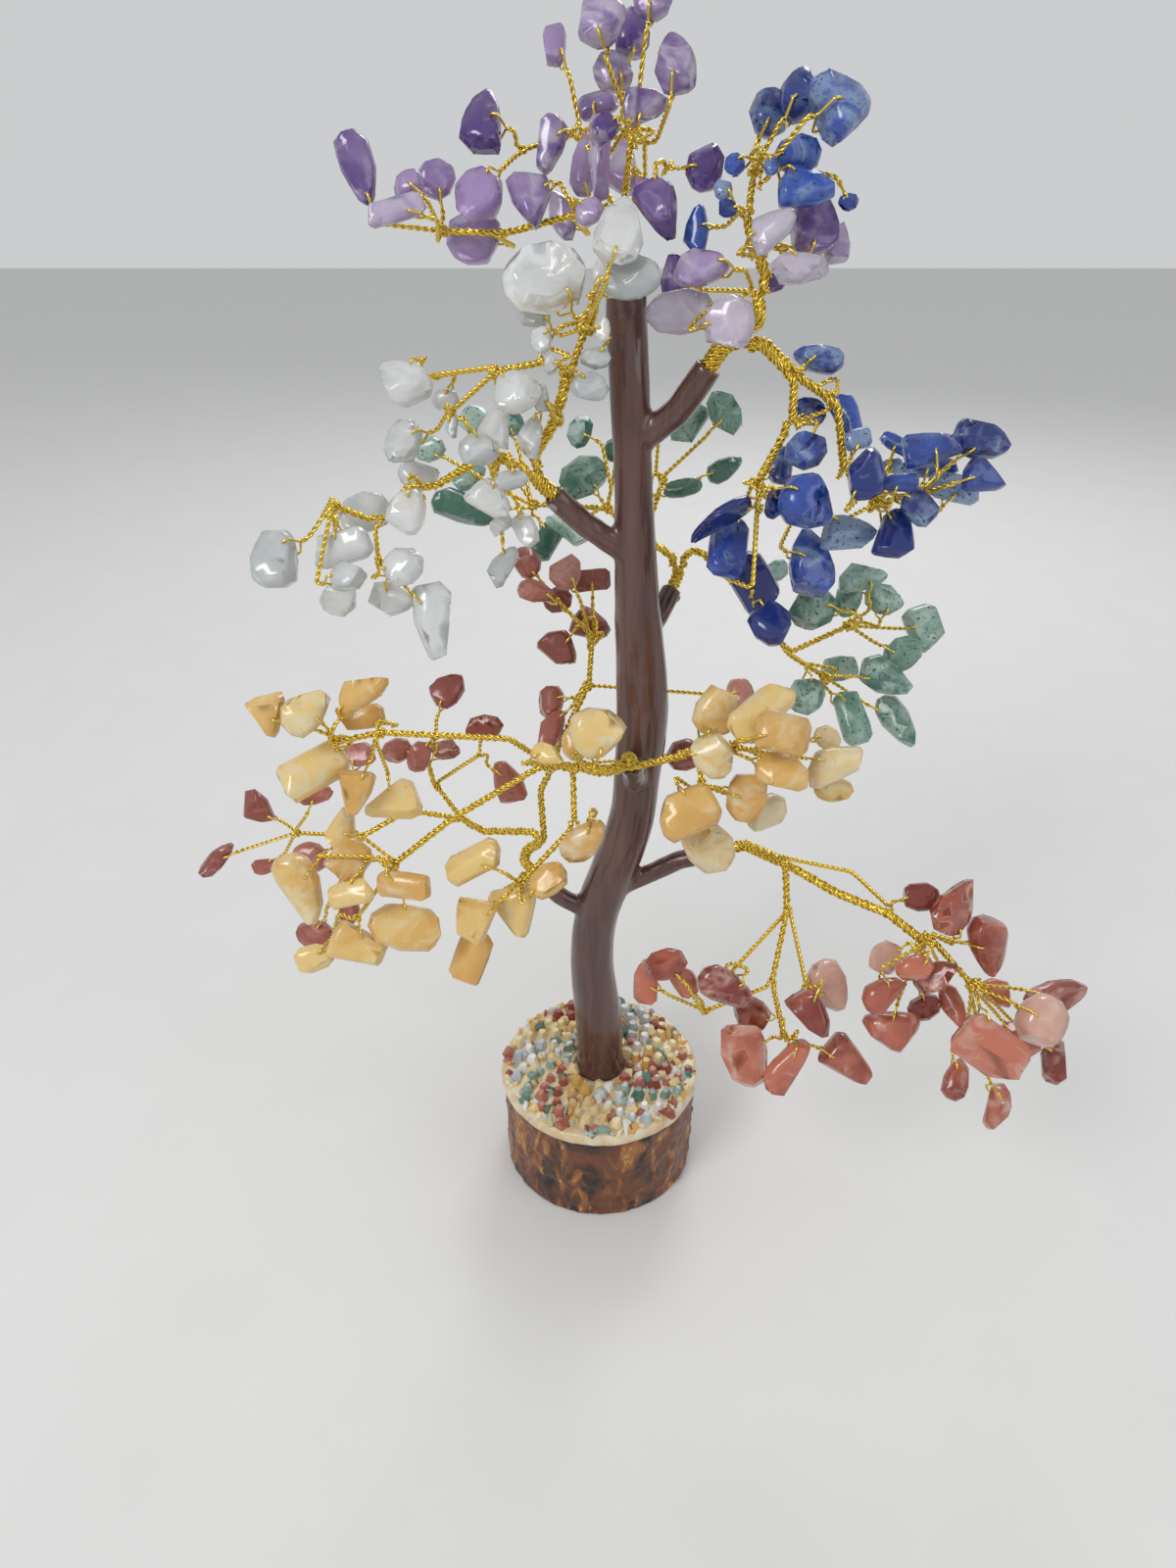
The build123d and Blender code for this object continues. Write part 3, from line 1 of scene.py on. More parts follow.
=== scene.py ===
"""Gemstone tree ornament, dressed for the photograph's view.

Lengths are in metres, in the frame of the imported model: +X is the viewer's right, -Y is
towards the viewer and +Z is up from the underside of the wood slice.
"""

import json
import logging
import math
from dataclasses import dataclass, field
from enum import Enum
from typing import Any

import bmesh
import bpy
import numpy as np
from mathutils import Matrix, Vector, noise


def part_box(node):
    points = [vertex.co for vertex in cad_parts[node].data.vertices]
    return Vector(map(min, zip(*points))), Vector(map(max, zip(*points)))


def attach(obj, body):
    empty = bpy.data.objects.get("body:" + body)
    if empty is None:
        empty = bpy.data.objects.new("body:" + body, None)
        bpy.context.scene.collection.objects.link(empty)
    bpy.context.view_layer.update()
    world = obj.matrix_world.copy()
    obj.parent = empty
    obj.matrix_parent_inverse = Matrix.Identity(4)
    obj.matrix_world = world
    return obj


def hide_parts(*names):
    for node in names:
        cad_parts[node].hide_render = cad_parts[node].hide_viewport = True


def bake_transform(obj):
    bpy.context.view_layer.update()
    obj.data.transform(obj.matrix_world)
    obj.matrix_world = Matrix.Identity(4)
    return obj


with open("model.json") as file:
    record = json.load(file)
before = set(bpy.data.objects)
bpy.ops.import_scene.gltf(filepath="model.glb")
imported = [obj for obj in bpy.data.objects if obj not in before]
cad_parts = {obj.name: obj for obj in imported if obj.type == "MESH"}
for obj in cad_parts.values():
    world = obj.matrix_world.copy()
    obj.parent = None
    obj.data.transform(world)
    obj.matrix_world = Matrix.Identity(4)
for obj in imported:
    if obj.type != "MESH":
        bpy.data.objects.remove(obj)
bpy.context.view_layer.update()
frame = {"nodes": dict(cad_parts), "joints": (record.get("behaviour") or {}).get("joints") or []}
LOG = logging.getLogger("gemstone_tree")
MM = 0.001
TURN = 2 * math.pi
SNAP = 0.002 * MM
WIRE_RADIUS = 0.27 * MM
Array = np.ndarray
Material = bpy.types.Material


# Shader building


class Signal:
    """A node's output socket that takes part in arithmetic."""

    def __init__(self, graph: "Nodes", socket: bpy.types.NodeSocket) -> None:
        """Keep the socket and the node tree that it belongs to."""
        self.graph = graph
        self.socket = socket

    def maths(self, operation: str, first: Any, second: Any) -> "Signal":
        """Result of one operation on two values or signals."""
        return self.graph.node("ShaderNodeMath", {"operation": operation}, {0: first, 1: second})

    def __add__(self, other: Any) -> "Signal":
        """Sum."""
        return self.maths("ADD", self, other)

    __radd__ = __add__

    def __sub__(self, other: Any) -> "Signal":
        """Difference."""
        return self.maths("SUBTRACT", self, other)

    def __rsub__(self, other: Any) -> "Signal":
        """Difference with this signal taken away."""
        return self.maths("SUBTRACT", other, self)

    def __mul__(self, other: Any) -> "Signal":
        """Product."""
        return self.maths("MULTIPLY", self, other)

    __rmul__ = __mul__

    def between(self, low: float, high: float) -> "Signal":
        """Smooth step from 0 at the low value to 1 at the high one."""
        sockets = {"Value": self, "From Min": low, "From Max": high}
        return self.graph.node("ShaderNodeMapRange", {"interpolation_type": "SMOOTHSTEP"}, sockets)


class Nodes:
    """One node tree, which gets its nodes and links here."""

    def __init__(self, tree: bpy.types.NodeTree) -> None:
        """Keep the tree."""
        self.tree = tree

    def add(self, kind: str, settings: dict, sockets: dict) -> bpy.types.Node:
        """Add a node.

        Args:
            kind: the node's type.
            settings: its properties, set before the sockets.
            sockets: values or signals by socket name or index.

        Returns:
            The node.
        """
        made = self.tree.nodes.new(kind)
        for name, value in settings.items():
            setattr(made, name, value)
        self.feed(made, sockets)
        return made

    def node(self, kind: str, settings: dict, sockets: dict, output: Any = 0) -> Signal:
        """Add a node and take one of its outputs, by name or index."""
        return Signal(self, self.add(kind, settings, sockets).outputs[output])

    def feed(self, node: bpy.types.Node, sockets: dict) -> None:
        """Set or link a node's inputs.

        Args:
            node: the node.
            sockets: values or signals by socket name or index.
        """
        for name, value in sockets.items():
            if isinstance(value, Signal):
                self.tree.links.new(value.socket, node.inputs[name])
            else:
                node.inputs[name].default_value = value


class Graph(Nodes):
    """One material's nodes, with its shader and the coordinates of its piece."""

    def __init__(self, name: str) -> None:
        """Start an empty material.

        Args:
            name: the material's name.
        """
        self.material = bpy.data.materials.new(name)
        self.material.use_nodes = True
        super().__init__(self.material.node_tree)
        self.tree.nodes.clear()
        self.shader = self.add("ShaderNodeBsdfPrincipled", {}, {})
        lit = Signal(self, self.shader.outputs[0])
        self.add("ShaderNodeOutputMaterial", {}, {"Surface": lit})
        self.place = self.node("ShaderNodeTexCoord", {}, {}, "Object")

    def noise(self, per_metre: float, detail: float = 3.0, stretch: tuple = (1, 1, 1),
              warp: float = 0.0) -> Signal:
        """Noise over the piece.

        Args:
            per_metre: how many features lie on a metre.
            detail: number of finer layers.
            stretch: factor of the frequency along each axis.
            warp: distortion of the pattern.

        Returns:
            A value from 0 to 1.
        """
        where = self.node("ShaderNodeMapping", {}, {"Vector": self.place, "Scale": stretch})
        sockets = {"Vector": where, "Scale": per_metre, "Detail": detail, "Distortion": warp}
        return self.node("ShaderNodeTexNoise", {}, sockets, "Fac")

    def tint(self, channel: str) -> Signal:
        """One channel of the random tint that each stone carries."""
        colour = self.node("ShaderNodeAttribute", {"attribute_name": "tint"}, {}, "Color")
        return self.node("ShaderNodeSeparateColor", {}, {"Color": colour}, channel)

    def blend(self, share: Any, first: Any, second: Any) -> Signal:
        """Mix two colours or signals, by the share of the second."""
        sockets = {0: share, 6: rgba(first), 7: rgba(second)}
        return self.node("ShaderNodeMix", {"data_type": "RGBA"}, sockets, 2)

    def bump(self, height: Signal, strength: float, depth: float) -> Signal:
        """Turn a height into a bumped normal."""
        sockets = {"Height": height, "Strength": strength, "Distance": depth}
        return self.node("ShaderNodeBump", {}, sockets, "Normal")

    def finish(self, **sockets: Any) -> Material:
        """Feed the shader, with underscores for blanks in the names, and give the material."""
        self.feed(self.shader, {name.replace("_", " "): v for name, v in sockets.items()})
        return self.material


def rgba(colour: Any) -> Any:
    """A colour with an alpha of 1, or the signal as it is."""
    return colour if isinstance(colour, Signal) else (*colour, 1.0)


@dataclass(frozen=True)
class StoneFinish:
    """Polish, colours and clearness of one kind of tumbled stone."""

    name: str
    dark: tuple
    light: tuple
    pale: tuple
    pale_share: float = 0.2
    speck: tuple = (0.5, 0.5, 0.5)
    speck_share: float = 0.0
    clear: float = 0.0
    glow: float = 0.1
    rough: float = 0.16
    cloud_scale: float = 110.0
    speck_scale: float = 1300.0
    wear_scale: float = 800.0
    scatter: tuple = (2.2 * MM, 1.8 * MM, 1.6 * MM)
    index: float = 1.54

    def material(self) -> Material:
        """Stone with cloudy patches, soft veins, fine specks and a worn polish.

        Returns:
            The material.
        """
        graph = Graph(self.name)
        tone, patch = graph.tint("Red"), graph.tint("Green")
        cloud = graph.noise(self.cloud_scale, 4.0, warp=0.6)
        body = graph.blend((cloud + 0.8 * tone - 0.4).between(0.2, 0.8), self.dark, self.light)
        veins = graph.noise(self.cloud_scale * 1.6, 5.0, stretch=(1, 0.6, 1.4), warp=0.9)
        edge = 0.72 - self.pale_share * 0.5
        vein = (veins + 0.35 * patch - 0.17).between(edge - 0.08, edge + 0.18) * 0.75
        body = graph.blend(vein, body, self.pale)
        body = graph.blend(patch.between(0.88, 0.93) * 0.8, body, self.pale)
        if self.speck_share:
            grains = graph.noise(self.speck_scale, 3.0)
            high = 0.70 - self.speck_share * 0.4
            body = graph.blend(grains.between(high, high + 0.1), body, self.speck)
        wear = graph.noise(self.wear_scale, 3.0)
        return graph.finish(
            Base_Color=body,
            Roughness=self.rough + 0.16 * wear,
            Normal=graph.bump(cloud + 0.35 * wear, 0.35, 0.3 * MM),
            Transmission_Weight=self.clear,
            Subsurface_Weight=self.glow,
            Subsurface_Radius=self.scatter,
            IOR=self.index,
            Coat_Weight=0.3,
            Coat_Roughness=0.08,
        )


class Stone(Enum):
    """Kinds of tumbled stone, each with its finish."""

    AMETHYST = StoneFinish(
        "amethyst", (0.105, 0.045, 0.26), (0.47, 0.33, 0.62), (0.72, 0.66, 0.77), 0.34,
        clear=0.35, glow=0.15, rough=0.09)
    LAPIS = StoneFinish(
        "lapis", (0.010, 0.024, 0.17), (0.030, 0.085, 0.41), (0.25, 0.36, 0.54), 0.30,
        (0.02, 0.03, 0.08), 0.3, glow=0.02, rough=0.13)
    QUARTZ = StoneFinish(
        "quartz", (0.62, 0.66, 0.67), (0.84, 0.86, 0.86), (0.93, 0.93, 0.92), 0.4,
        clear=0.4, glow=0.25, rough=0.08)
    AVENTURINE = StoneFinish(
        "aventurine", (0.05, 0.15, 0.11), (0.18, 0.33, 0.26), (0.42, 0.56, 0.49), 0.4,
        (0.03, 0.09, 0.07), 0.3, glow=0.05)
    CITRINE = StoneFinish(
        "citrine", (0.66, 0.37, 0.09), (0.80, 0.58, 0.22), (0.74, 0.66, 0.44), 0.34,
        (0.60, 0.34, 0.10), 0.1, glow=0.15, rough=0.17)
    JASPER = StoneFinish(
        "jasper", (0.25, 0.055, 0.038), (0.40, 0.12, 0.085), (0.52, 0.24, 0.19), 0.25,
        (0.2, 0.045, 0.035), 0.2, glow=0.05, rough=0.19)
    CARNELIAN = StoneFinish(
        "carnelian", (0.24, 0.036, 0.026), (0.60, 0.185, 0.11), (0.73, 0.46, 0.37), 0.26,
        clear=0.1, glow=0.22, rough=0.11)


@dataclass(frozen=True)
class WireFinish:
    """Bright gold-coloured craft wire."""

    name: str = "gold_wire"
    colour: tuple = (0.88, 0.67, 0.13)
    shade: tuple = (0.72, 0.50, 0.07)
    cloud_scale: float = 220.0
    draw_scale: float = 2600.0

    def material(self) -> Material:
        """Metal whose colour and gloss vary a little along the strands.

        Returns:
            The material.
        """
        graph = Graph(self.name)
        cloud = graph.noise(self.cloud_scale, 2.0)
        draw = graph.noise(self.draw_scale, 2.0)
        return graph.finish(
            Base_Color=graph.blend(cloud, self.shade, self.colour),
            Metallic=1.0,
            Roughness=0.2 + 0.16 * draw,
            Normal=graph.bump(draw, 0.15, 0.02 * MM),
        )


@dataclass(frozen=True)
class CoatFinish:
    """Glossy red-brown coat of the trunk, with faint streaks along it."""

    name: str = "trunk_coat"
    deep: tuple = (0.078, 0.031, 0.024)
    streak: tuple = (0.128, 0.057, 0.044)
    streak_scale: float = 420.0
    lump_scale: float = 150.0

    def material(self) -> Material:
        """Dark coat that is streaked along the trunk and a little uneven.

        Returns:
            The material.
        """
        graph = Graph(self.name)
        streaks = graph.noise(self.streak_scale, 3.0, stretch=(1, 1, 0.09), warp=0.3)
        lumps = graph.noise(self.lump_scale, 2.0)
        return graph.finish(
            Base_Color=graph.blend(streaks.between(0.3, 0.75), self.deep, self.streak),
            Roughness=0.2 + 0.14 * streaks,
            Normal=graph.bump(streaks * 0.6 + lumps, 0.4, 0.35 * MM),
            Coat_Weight=0.6,
            Coat_Roughness=0.1,
        )


@dataclass(frozen=True)
class BarkFinish:
    """Mottled brown bark under a thick varnish."""

    name: str = "bark"
    dark: tuple = (0.022, 0.011, 0.007)
    brown: tuple = (0.150, 0.042, 0.014)
    orange: tuple = (0.36, 0.13, 0.026)
    yellow: tuple = (0.56, 0.34, 0.06)
    patch_scale: float = 75.0
    streak_scale: float = 190.0
    grain_scale: float = 900.0

    def material(self) -> Material:
        """Patches of dark, brown, orange and yellow with cracks that run around and up.

        Returns:
            The material.
        """
        graph = Graph(self.name)
        patches = graph.noise(self.patch_scale, 5.0, stretch=(1, 1, 0.8), warp=1.0)
        streaks = graph.noise(self.streak_scale, 5.0, stretch=(1, 1, 0.45), warp=0.8)
        grain = graph.noise(self.grain_scale, 4.0, stretch=(1, 1, 0.5))
        body = graph.blend(patches.between(0.34, 0.56), self.dark, self.brown)
        body = graph.blend(streaks.between(0.48, 0.66), body, self.orange)
        body = graph.blend((streaks * 0.6 + grain * 0.4).between(0.57, 0.66), body, self.yellow)
        return graph.finish(
            Base_Color=body,
            Roughness=0.3 + 0.3 * grain,
            Normal=graph.bump(streaks + 0.5 * grain, 0.45, 0.6 * MM),
            Coat_Weight=0.3,
            Coat_Roughness=0.15,
        )


@dataclass(frozen=True)
class WoodFinish:
    """Sawn end grain of the slice."""

    name: str = "wood"
    early: tuple = (0.50, 0.31, 0.16)
    late: tuple = (0.27, 0.14, 0.06)
    ring_scale: float = 110.0
    saw_scale: float = 500.0

    def material(self) -> Material:
        """Growth rings round the heart, with saw marks.

        Returns:
            The material.
        """
        graph = Graph(self.name)
        rings = graph.node(
            "ShaderNodeTexWave",
            {"wave_type": "RINGS", "rings_direction": "Z"},
            {"Vector": graph.place, "Scale": self.ring_scale, "Distortion": 3.0,
             "Detail": 2.0, "Detail Scale": 40.0},
            "Fac",
        )
        saw = graph.noise(self.saw_scale, 3.0, stretch=(1, 0.1, 1))
        return graph.finish(
            Base_Color=graph.blend(rings, self.early, self.late),
            Roughness=0.45 + 0.2 * saw,
            Normal=graph.bump(rings + saw, 0.3, 0.2 * MM),
        )


@dataclass(frozen=True)
class ResinFinish:
    """Cast resin of the bed, cloudy with stone dust."""

    name: str = "resin"
    cream: tuple = (0.66, 0.50, 0.28)
    pale: tuple = (0.76, 0.68, 0.50)
    dust: tuple = (0.46, 0.36, 0.26)
    cloud_scale: float = 170.0
    patch_scale: float = 420.0
    scatter: tuple = (1.5 * MM, 1.2 * MM, 1.0 * MM)

    def material(self) -> Material:
        """Cream and pale clouds with dusty patches under a glossy skin.

        Returns:
            The material.
        """
        graph = Graph(self.name)
        clouds = graph.noise(self.cloud_scale, 4.0, warp=0.8)
        patches = graph.noise(self.patch_scale, 4.0)
        body = graph.blend(clouds.between(0.35, 0.65), self.cream, self.pale)
        body = graph.blend(patches.between(0.56, 0.72) * 0.7, body, self.dust)
        return graph.finish(
            Base_Color=body,
            Roughness=0.28 + 0.25 * patches,
            Normal=graph.bump(patches + clouds, 0.5, 0.5 * MM),
            Subsurface_Weight=0.12,
            Subsurface_Radius=self.scatter,
            Coat_Weight=0.25,
            Coat_Roughness=0.12,
        )


@dataclass(frozen=True)
class ChipFinish:
    """One colour of crushed stone, wet with resin."""

    name: str
    dark: tuple
    light: tuple
    cloud_scale: float = 700.0
    scatter: tuple = (1.2 * MM, 1.0 * MM, 0.8 * MM)

    def material(self) -> Material:
        """Chips that differ in tone, with a wet gloss.

        Returns:
            The material.
        """
        graph = Graph(self.name)
        cloud = graph.noise(self.cloud_scale, 3.0)
        share = (0.5 * cloud + graph.tint("Red") - 0.25).between(0.1, 0.9)
        return graph.finish(
            Base_Color=graph.blend(share, self.dark, self.light),
            Roughness=0.26 + 0.25 * cloud,
            Normal=graph.bump(cloud, 0.3, 0.2 * MM),
            Subsurface_Weight=0.1,
            Subsurface_Radius=self.scatter,
            Coat_Weight=0.2,
            Coat_Roughness=0.1,
        )


class Chip(Enum):
    """Colours of the crushed stones."""

    CREAM = ChipFinish("cream_chips", (0.66, 0.40, 0.11), (0.80, 0.68, 0.40))
    RED = ChipFinish("red_chips", (0.28, 0.06, 0.035), (0.50, 0.19, 0.13))
    GREEN = ChipFinish("green_chips", (0.09, 0.19, 0.15), (0.37, 0.50, 0.43))
    WHITE = ChipFinish("white_chips", (0.42, 0.48, 0.52), (0.80, 0.80, 0.75))


@dataclass(frozen=True)
class GlueFinish:
    """Clear hard glue that shows grey against the coat."""

    name: str = "clear_glue"
    grey: tuple = (0.30, 0.25, 0.24)
    pale: tuple = (0.62, 0.58, 0.56)
    cloud_scale: float = 500.0
    index: float = 1.48

    def material(self) -> Material:
        """Clear, slightly cloudy and glossy.

        Returns:
            The material.
        """
        graph = Graph(self.name)
        cloud = graph.noise(self.cloud_scale, 2.0)
        return graph.finish(
            Base_Color=graph.blend(cloud, self.grey, self.pale),
            Roughness=0.12 + 0.1 * cloud,
            Transmission_Weight=0.35,
            IOR=self.index,
            Coat_Weight=0.5,
            Coat_Roughness=0.05,
        )


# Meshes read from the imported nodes


SORT_STEPS = 1e5  # per metre
NORMAL_STEPS = 40
PLANE_STEP = 0.006 * MM
SAME_PLANE = 0.008 * MM
SAME_WAY = 0.999
SHORTEST_GAP = 0.01 * MM
FEWEST_POINTS = 4
FIRST_SIDE = (0.31, 0.17, 0.93)
MID_TINT = (0.5, 0.5, 0.5)


def placed(name: str, data: Any) -> bpy.types.Object:
    """Put a new object into the scene.

    Args:
        name: the object's name.
        data: its mesh, lamp or camera.

    Returns:
        The object.
    """
    made = bpy.data.objects.new(name, data)
    bpy.context.scene.collection.objects.link(made)
    return made


def paint(mesh: bpy.types.Mesh, material: Material) -> None:
    """Give a mesh one material."""
    mesh.materials.clear()
    mesh.materials.append(material)


def mouth_of(body: str) -> Array:
    """Place of the joint that carries a body."""
    joint = next(j for j in frame["joints"] if j["child"] == body)
    return np.array(joint["pos_m"])


def edges_of(triangles: Array) -> Array:
    """The three edges of every triangle, as pairs of point numbers."""
    return np.vstack([triangles[:, (0, 1)], triangles[:, (1, 2)], triangles[:, (2, 0)]])


def run_of(path: Array) -> Array:
    """Distance of each point of a path from its start, measured along it."""
    return np.concatenate([[0], np.cumsum(np.linalg.norm(np.diff(path, axis=0), axis=1))])


def unit(rows: Array) -> Array:
    """Vectors in rows, made one long."""
    return rows / np.linalg.norm(rows, axis=1, keepdims=True)


def welded(name: str) -> tuple[Array, Array]:
    """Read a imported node, with doubled points joined.

    Args:
        name: the node's name.

    Returns:
        Its points and its triangles.
    """
    mesh = frame["nodes"][name].data
    mesh.calc_loop_triangles()
    points = np.empty(len(mesh.vertices) * 3)
    mesh.vertices.foreach_get("co", points)
    points = points.reshape(-1, 3)
    triangles = np.empty(len(mesh.loop_triangles) * 3, np.int32)
    mesh.loop_triangles.foreach_get("vertices", triangles)
    key = np.round(points / SNAP).astype(np.int64)
    _, first, inverse = np.unique(key, axis=0, return_index=True, return_inverse=True)
    triangles = inverse.reshape(-1)[triangles].reshape(-1, 3)
    doubled = (triangles == np.roll(triangles, 1, axis=1)).any(axis=1)
    return points[first], triangles[~doubled]


def islands(name: str) -> list[tuple[Array, Array]]:
    """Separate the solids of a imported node.

    Args:
        name: the node's name.

    Returns:
        Points and triangles of each solid, in an order that stays the same.
    """
    points, triangles = welded(name)
    edges = edges_of(triangles)
    labels = np.arange(len(points))
    while True:
        lowest = np.minimum(labels[edges[:, 0]], labels[edges[:, 1]])
        fresh = labels.copy()
        np.minimum.at(fresh, edges[:, 0], lowest)
        np.minimum.at(fresh, edges[:, 1], lowest)
        fresh = fresh[fresh]
        if (fresh == labels).all():
            break
        labels = fresh
    found = []
    for label in np.unique(labels[triangles[:, 0]]):
        own = triangles[labels[triangles[:, 0]] == label]
        used, faces = np.unique(own, return_inverse=True)
        found.append((points[used], faces.reshape(-1, 3)))
    found.sort(key=lambda island: tuple(np.round(island[0].mean(axis=0) * SORT_STEPS)))
    return found


def centreline(points: Array, triangles: Array) -> tuple[Array, float]:
    """Middle line and radius of a round rod, read ring by ring from its end cap.

    Args:
        points: the rod's points.
        triangles: the rod's triangles.

    Returns:
        The ring centres in order, and the rod's radius.
    """
    a, b, c = (points[triangles[:, i]] for i in range(3))
    normals = np.cross(b - a, c - a)
    normals /= np.maximum(np.linalg.norm(normals, axis=1, keepdims=True), 1e-15)
    offsets = (normals * a).sum(axis=1)
    planes = np.column_stack([np.round(normals * NORMAL_STEPS),
                              np.round(offsets / PLANE_STEP)]).astype(np.int64)
    _, group, sizes = np.unique(planes, axis=0, return_inverse=True, return_counts=True)
    alike = group.reshape(-1) == int(np.argmax(sizes))
    cap = int(np.argmax(alike))
    facing = normals[alike].mean(axis=0)
    facing /= np.linalg.norm(facing)
    flat = triangles[(normals @ facing > SAME_WAY)
                     & (np.abs(offsets - offsets[alike].mean()) < SAME_PLANE)]
    ring = {int(i) for i in triangles[cap]}
    grown = True
    while grown:
        grown = False
        for face in flat.tolist():
            if ring.intersection(face) and not ring.issuperset(face):
                ring.update(face)
                grown = True
    edges = edges_of(triangles)
    edges = np.vstack([edges, edges[:, ::-1]])
    seen = np.zeros(len(points), bool)
    level = np.zeros(len(points), bool)
    level[list(ring)] = True
    centres = []
    radius = float(np.linalg.norm(points[level] - points[level].mean(axis=0), axis=1).mean())
    while level.any():
        seen |= level
        if level.sum() >= len(ring) // 2:
            centres.append(points[level].mean(axis=0))
        reached = np.zeros(len(points), bool)
        reached[edges[level[edges[:, 0]], 1]] = True
        level = reached & ~seen
    return np.array(centres), radius


def resampled(path: Array, step: float, smooth: int = 2) -> Array:
    """Give a path even steps and rounded corners, and keep its ends.

    Args:
        path: the path's points.
        step: length of a step.
        smooth: number of rounds of smoothing.

    Returns:
        The new points.
    """
    gaps = np.linalg.norm(np.diff(path, axis=0), axis=1)
    path = path[np.concatenate([[True], gaps > SHORTEST_GAP])]
    run = run_of(path)
    count = max(FEWEST_POINTS, int(run[-1] / step) + 1)
    even = np.linspace(0, run[-1], count)
    path = np.column_stack([np.interp(even, run, path[:, i]) for i in range(3)])
    for _ in range(smooth):
        path[1:-1] = path[1:-1] * 0.5 + (path[:-2] + path[2:]) * 0.25
    return path


def axes_along(path: Array) -> tuple[Array, Array, Array]:
    """Find axes that go along a path without twisting round it.

    Args:
        path: the path's points.

    Returns:
        The distance along the path and two axes square to it, at each point.
    """
    tangents = unit(np.gradient(path, axis=0))
    side = np.cross(tangents[0], FIRST_SIDE)
    if np.linalg.norm(side) < 0.1:
        side = np.cross(tangents[0], (1.0, 0.0, 0.0))
    firsts = np.empty_like(path)
    for index, tangent in enumerate(tangents):
        side = side - tangent * (side @ tangent)
        side = side / math.sqrt(side @ side)
        firsts[index] = side
    return run_of(path), firsts, np.cross(tangents, firsts)


@dataclass
class Mesher:
    """Collects quads and triangles of many small shapes and makes one object of them."""

    points: list = field(default_factory=list)
    faces: list = field(default_factory=list)
    tints: list = field(default_factory=list)
    count: int = 0

    def add(self, points: Array, faces: list, tint: tuple | None = None) -> None:
        """Add a shape.

        Args:
            points: its points.
            faces: its faces as arrays of point numbers, all faces of an array alike.
            tint: colour that its material may read.
        """
        self.points.append(points)
        self.faces.extend(block + self.count for block in faces)
        self.tints.append(np.tile(tint or MID_TINT, (len(points), 1)))
        self.count += len(points)

    def tube(self, path: Array, radius: float, sides: int = 6) -> None:
        """Add a round tube that is closed at its ends.

        Args:
            path: its middle line.
            radius: its radius.
            sides: number of its sides.
        """
        _, first, second = axes_along(path)
        angles = np.arange(sides) * TURN / sides
        ring = (first[:, None] * np.cos(angles)[None, :, None]
                + second[:, None] * np.sin(angles)[None, :, None])
        points = (path[:, None] + ring * radius).reshape(-1, 3)
        rows = np.arange(len(path) - 1)[:, None] * sides
        here = np.arange(sides)[None]
        after = (here + 1) % sides
        quads = np.stack([rows + here, rows + after, rows + sides + after, rows + sides + here],
                         axis=-1).reshape(-1, 4)
        last = (len(path) - 1) * sides
        caps = np.array([[0, sides - i - 1, sides - i - 2] for i in range(sides - 2)])
        ends = np.array([[last, last + i + 1, last + i + 2] for i in range(sides - 2)])
        self.add(points, [quads, caps, ends])

    def build(self, name: str, material: Material, smooth: bool = True) -> bpy.types.Object:
        """Make the object and report it.

        Args:
            name: the object's name.
            material: its material.
            smooth: whether its faces are shaded smooth.

        Returns:
            The new object.
        """
        mesh = bpy.data.meshes.new(name)
        points = np.concatenate(self.points)
        mesh.vertices.add(len(points))
        mesh.vertices.foreach_set("co", points.ravel())
        sizes = np.concatenate([np.full(len(block), block.shape[1]) for block in self.faces])
        corners = np.concatenate([block.ravel() for block in self.faces])
        mesh.loops.add(len(corners))
        mesh.loops.foreach_set("vertex_index", corners.astype(np.int32))
        mesh.polygons.add(len(sizes))
        starts = np.concatenate([[0], np.cumsum(sizes)[:-1]])
        mesh.polygons.foreach_set("loop_start", starts.astype(np.int32))
        mesh.polygons.foreach_set("use_smooth", np.full(len(sizes), smooth))
        mesh.update(calc_edges=True)
        tints = np.concatenate(self.tints)
        colour = mesh.attributes.new("tint", "FLOAT_COLOR", "POINT")
        colour.data.foreach_set("color", np.column_stack([tints, np.ones(len(tints))]).ravel())
        paint(mesh, material)
        LOG.info("%s: %d points", name, len(points))
        return placed(name, mesh)


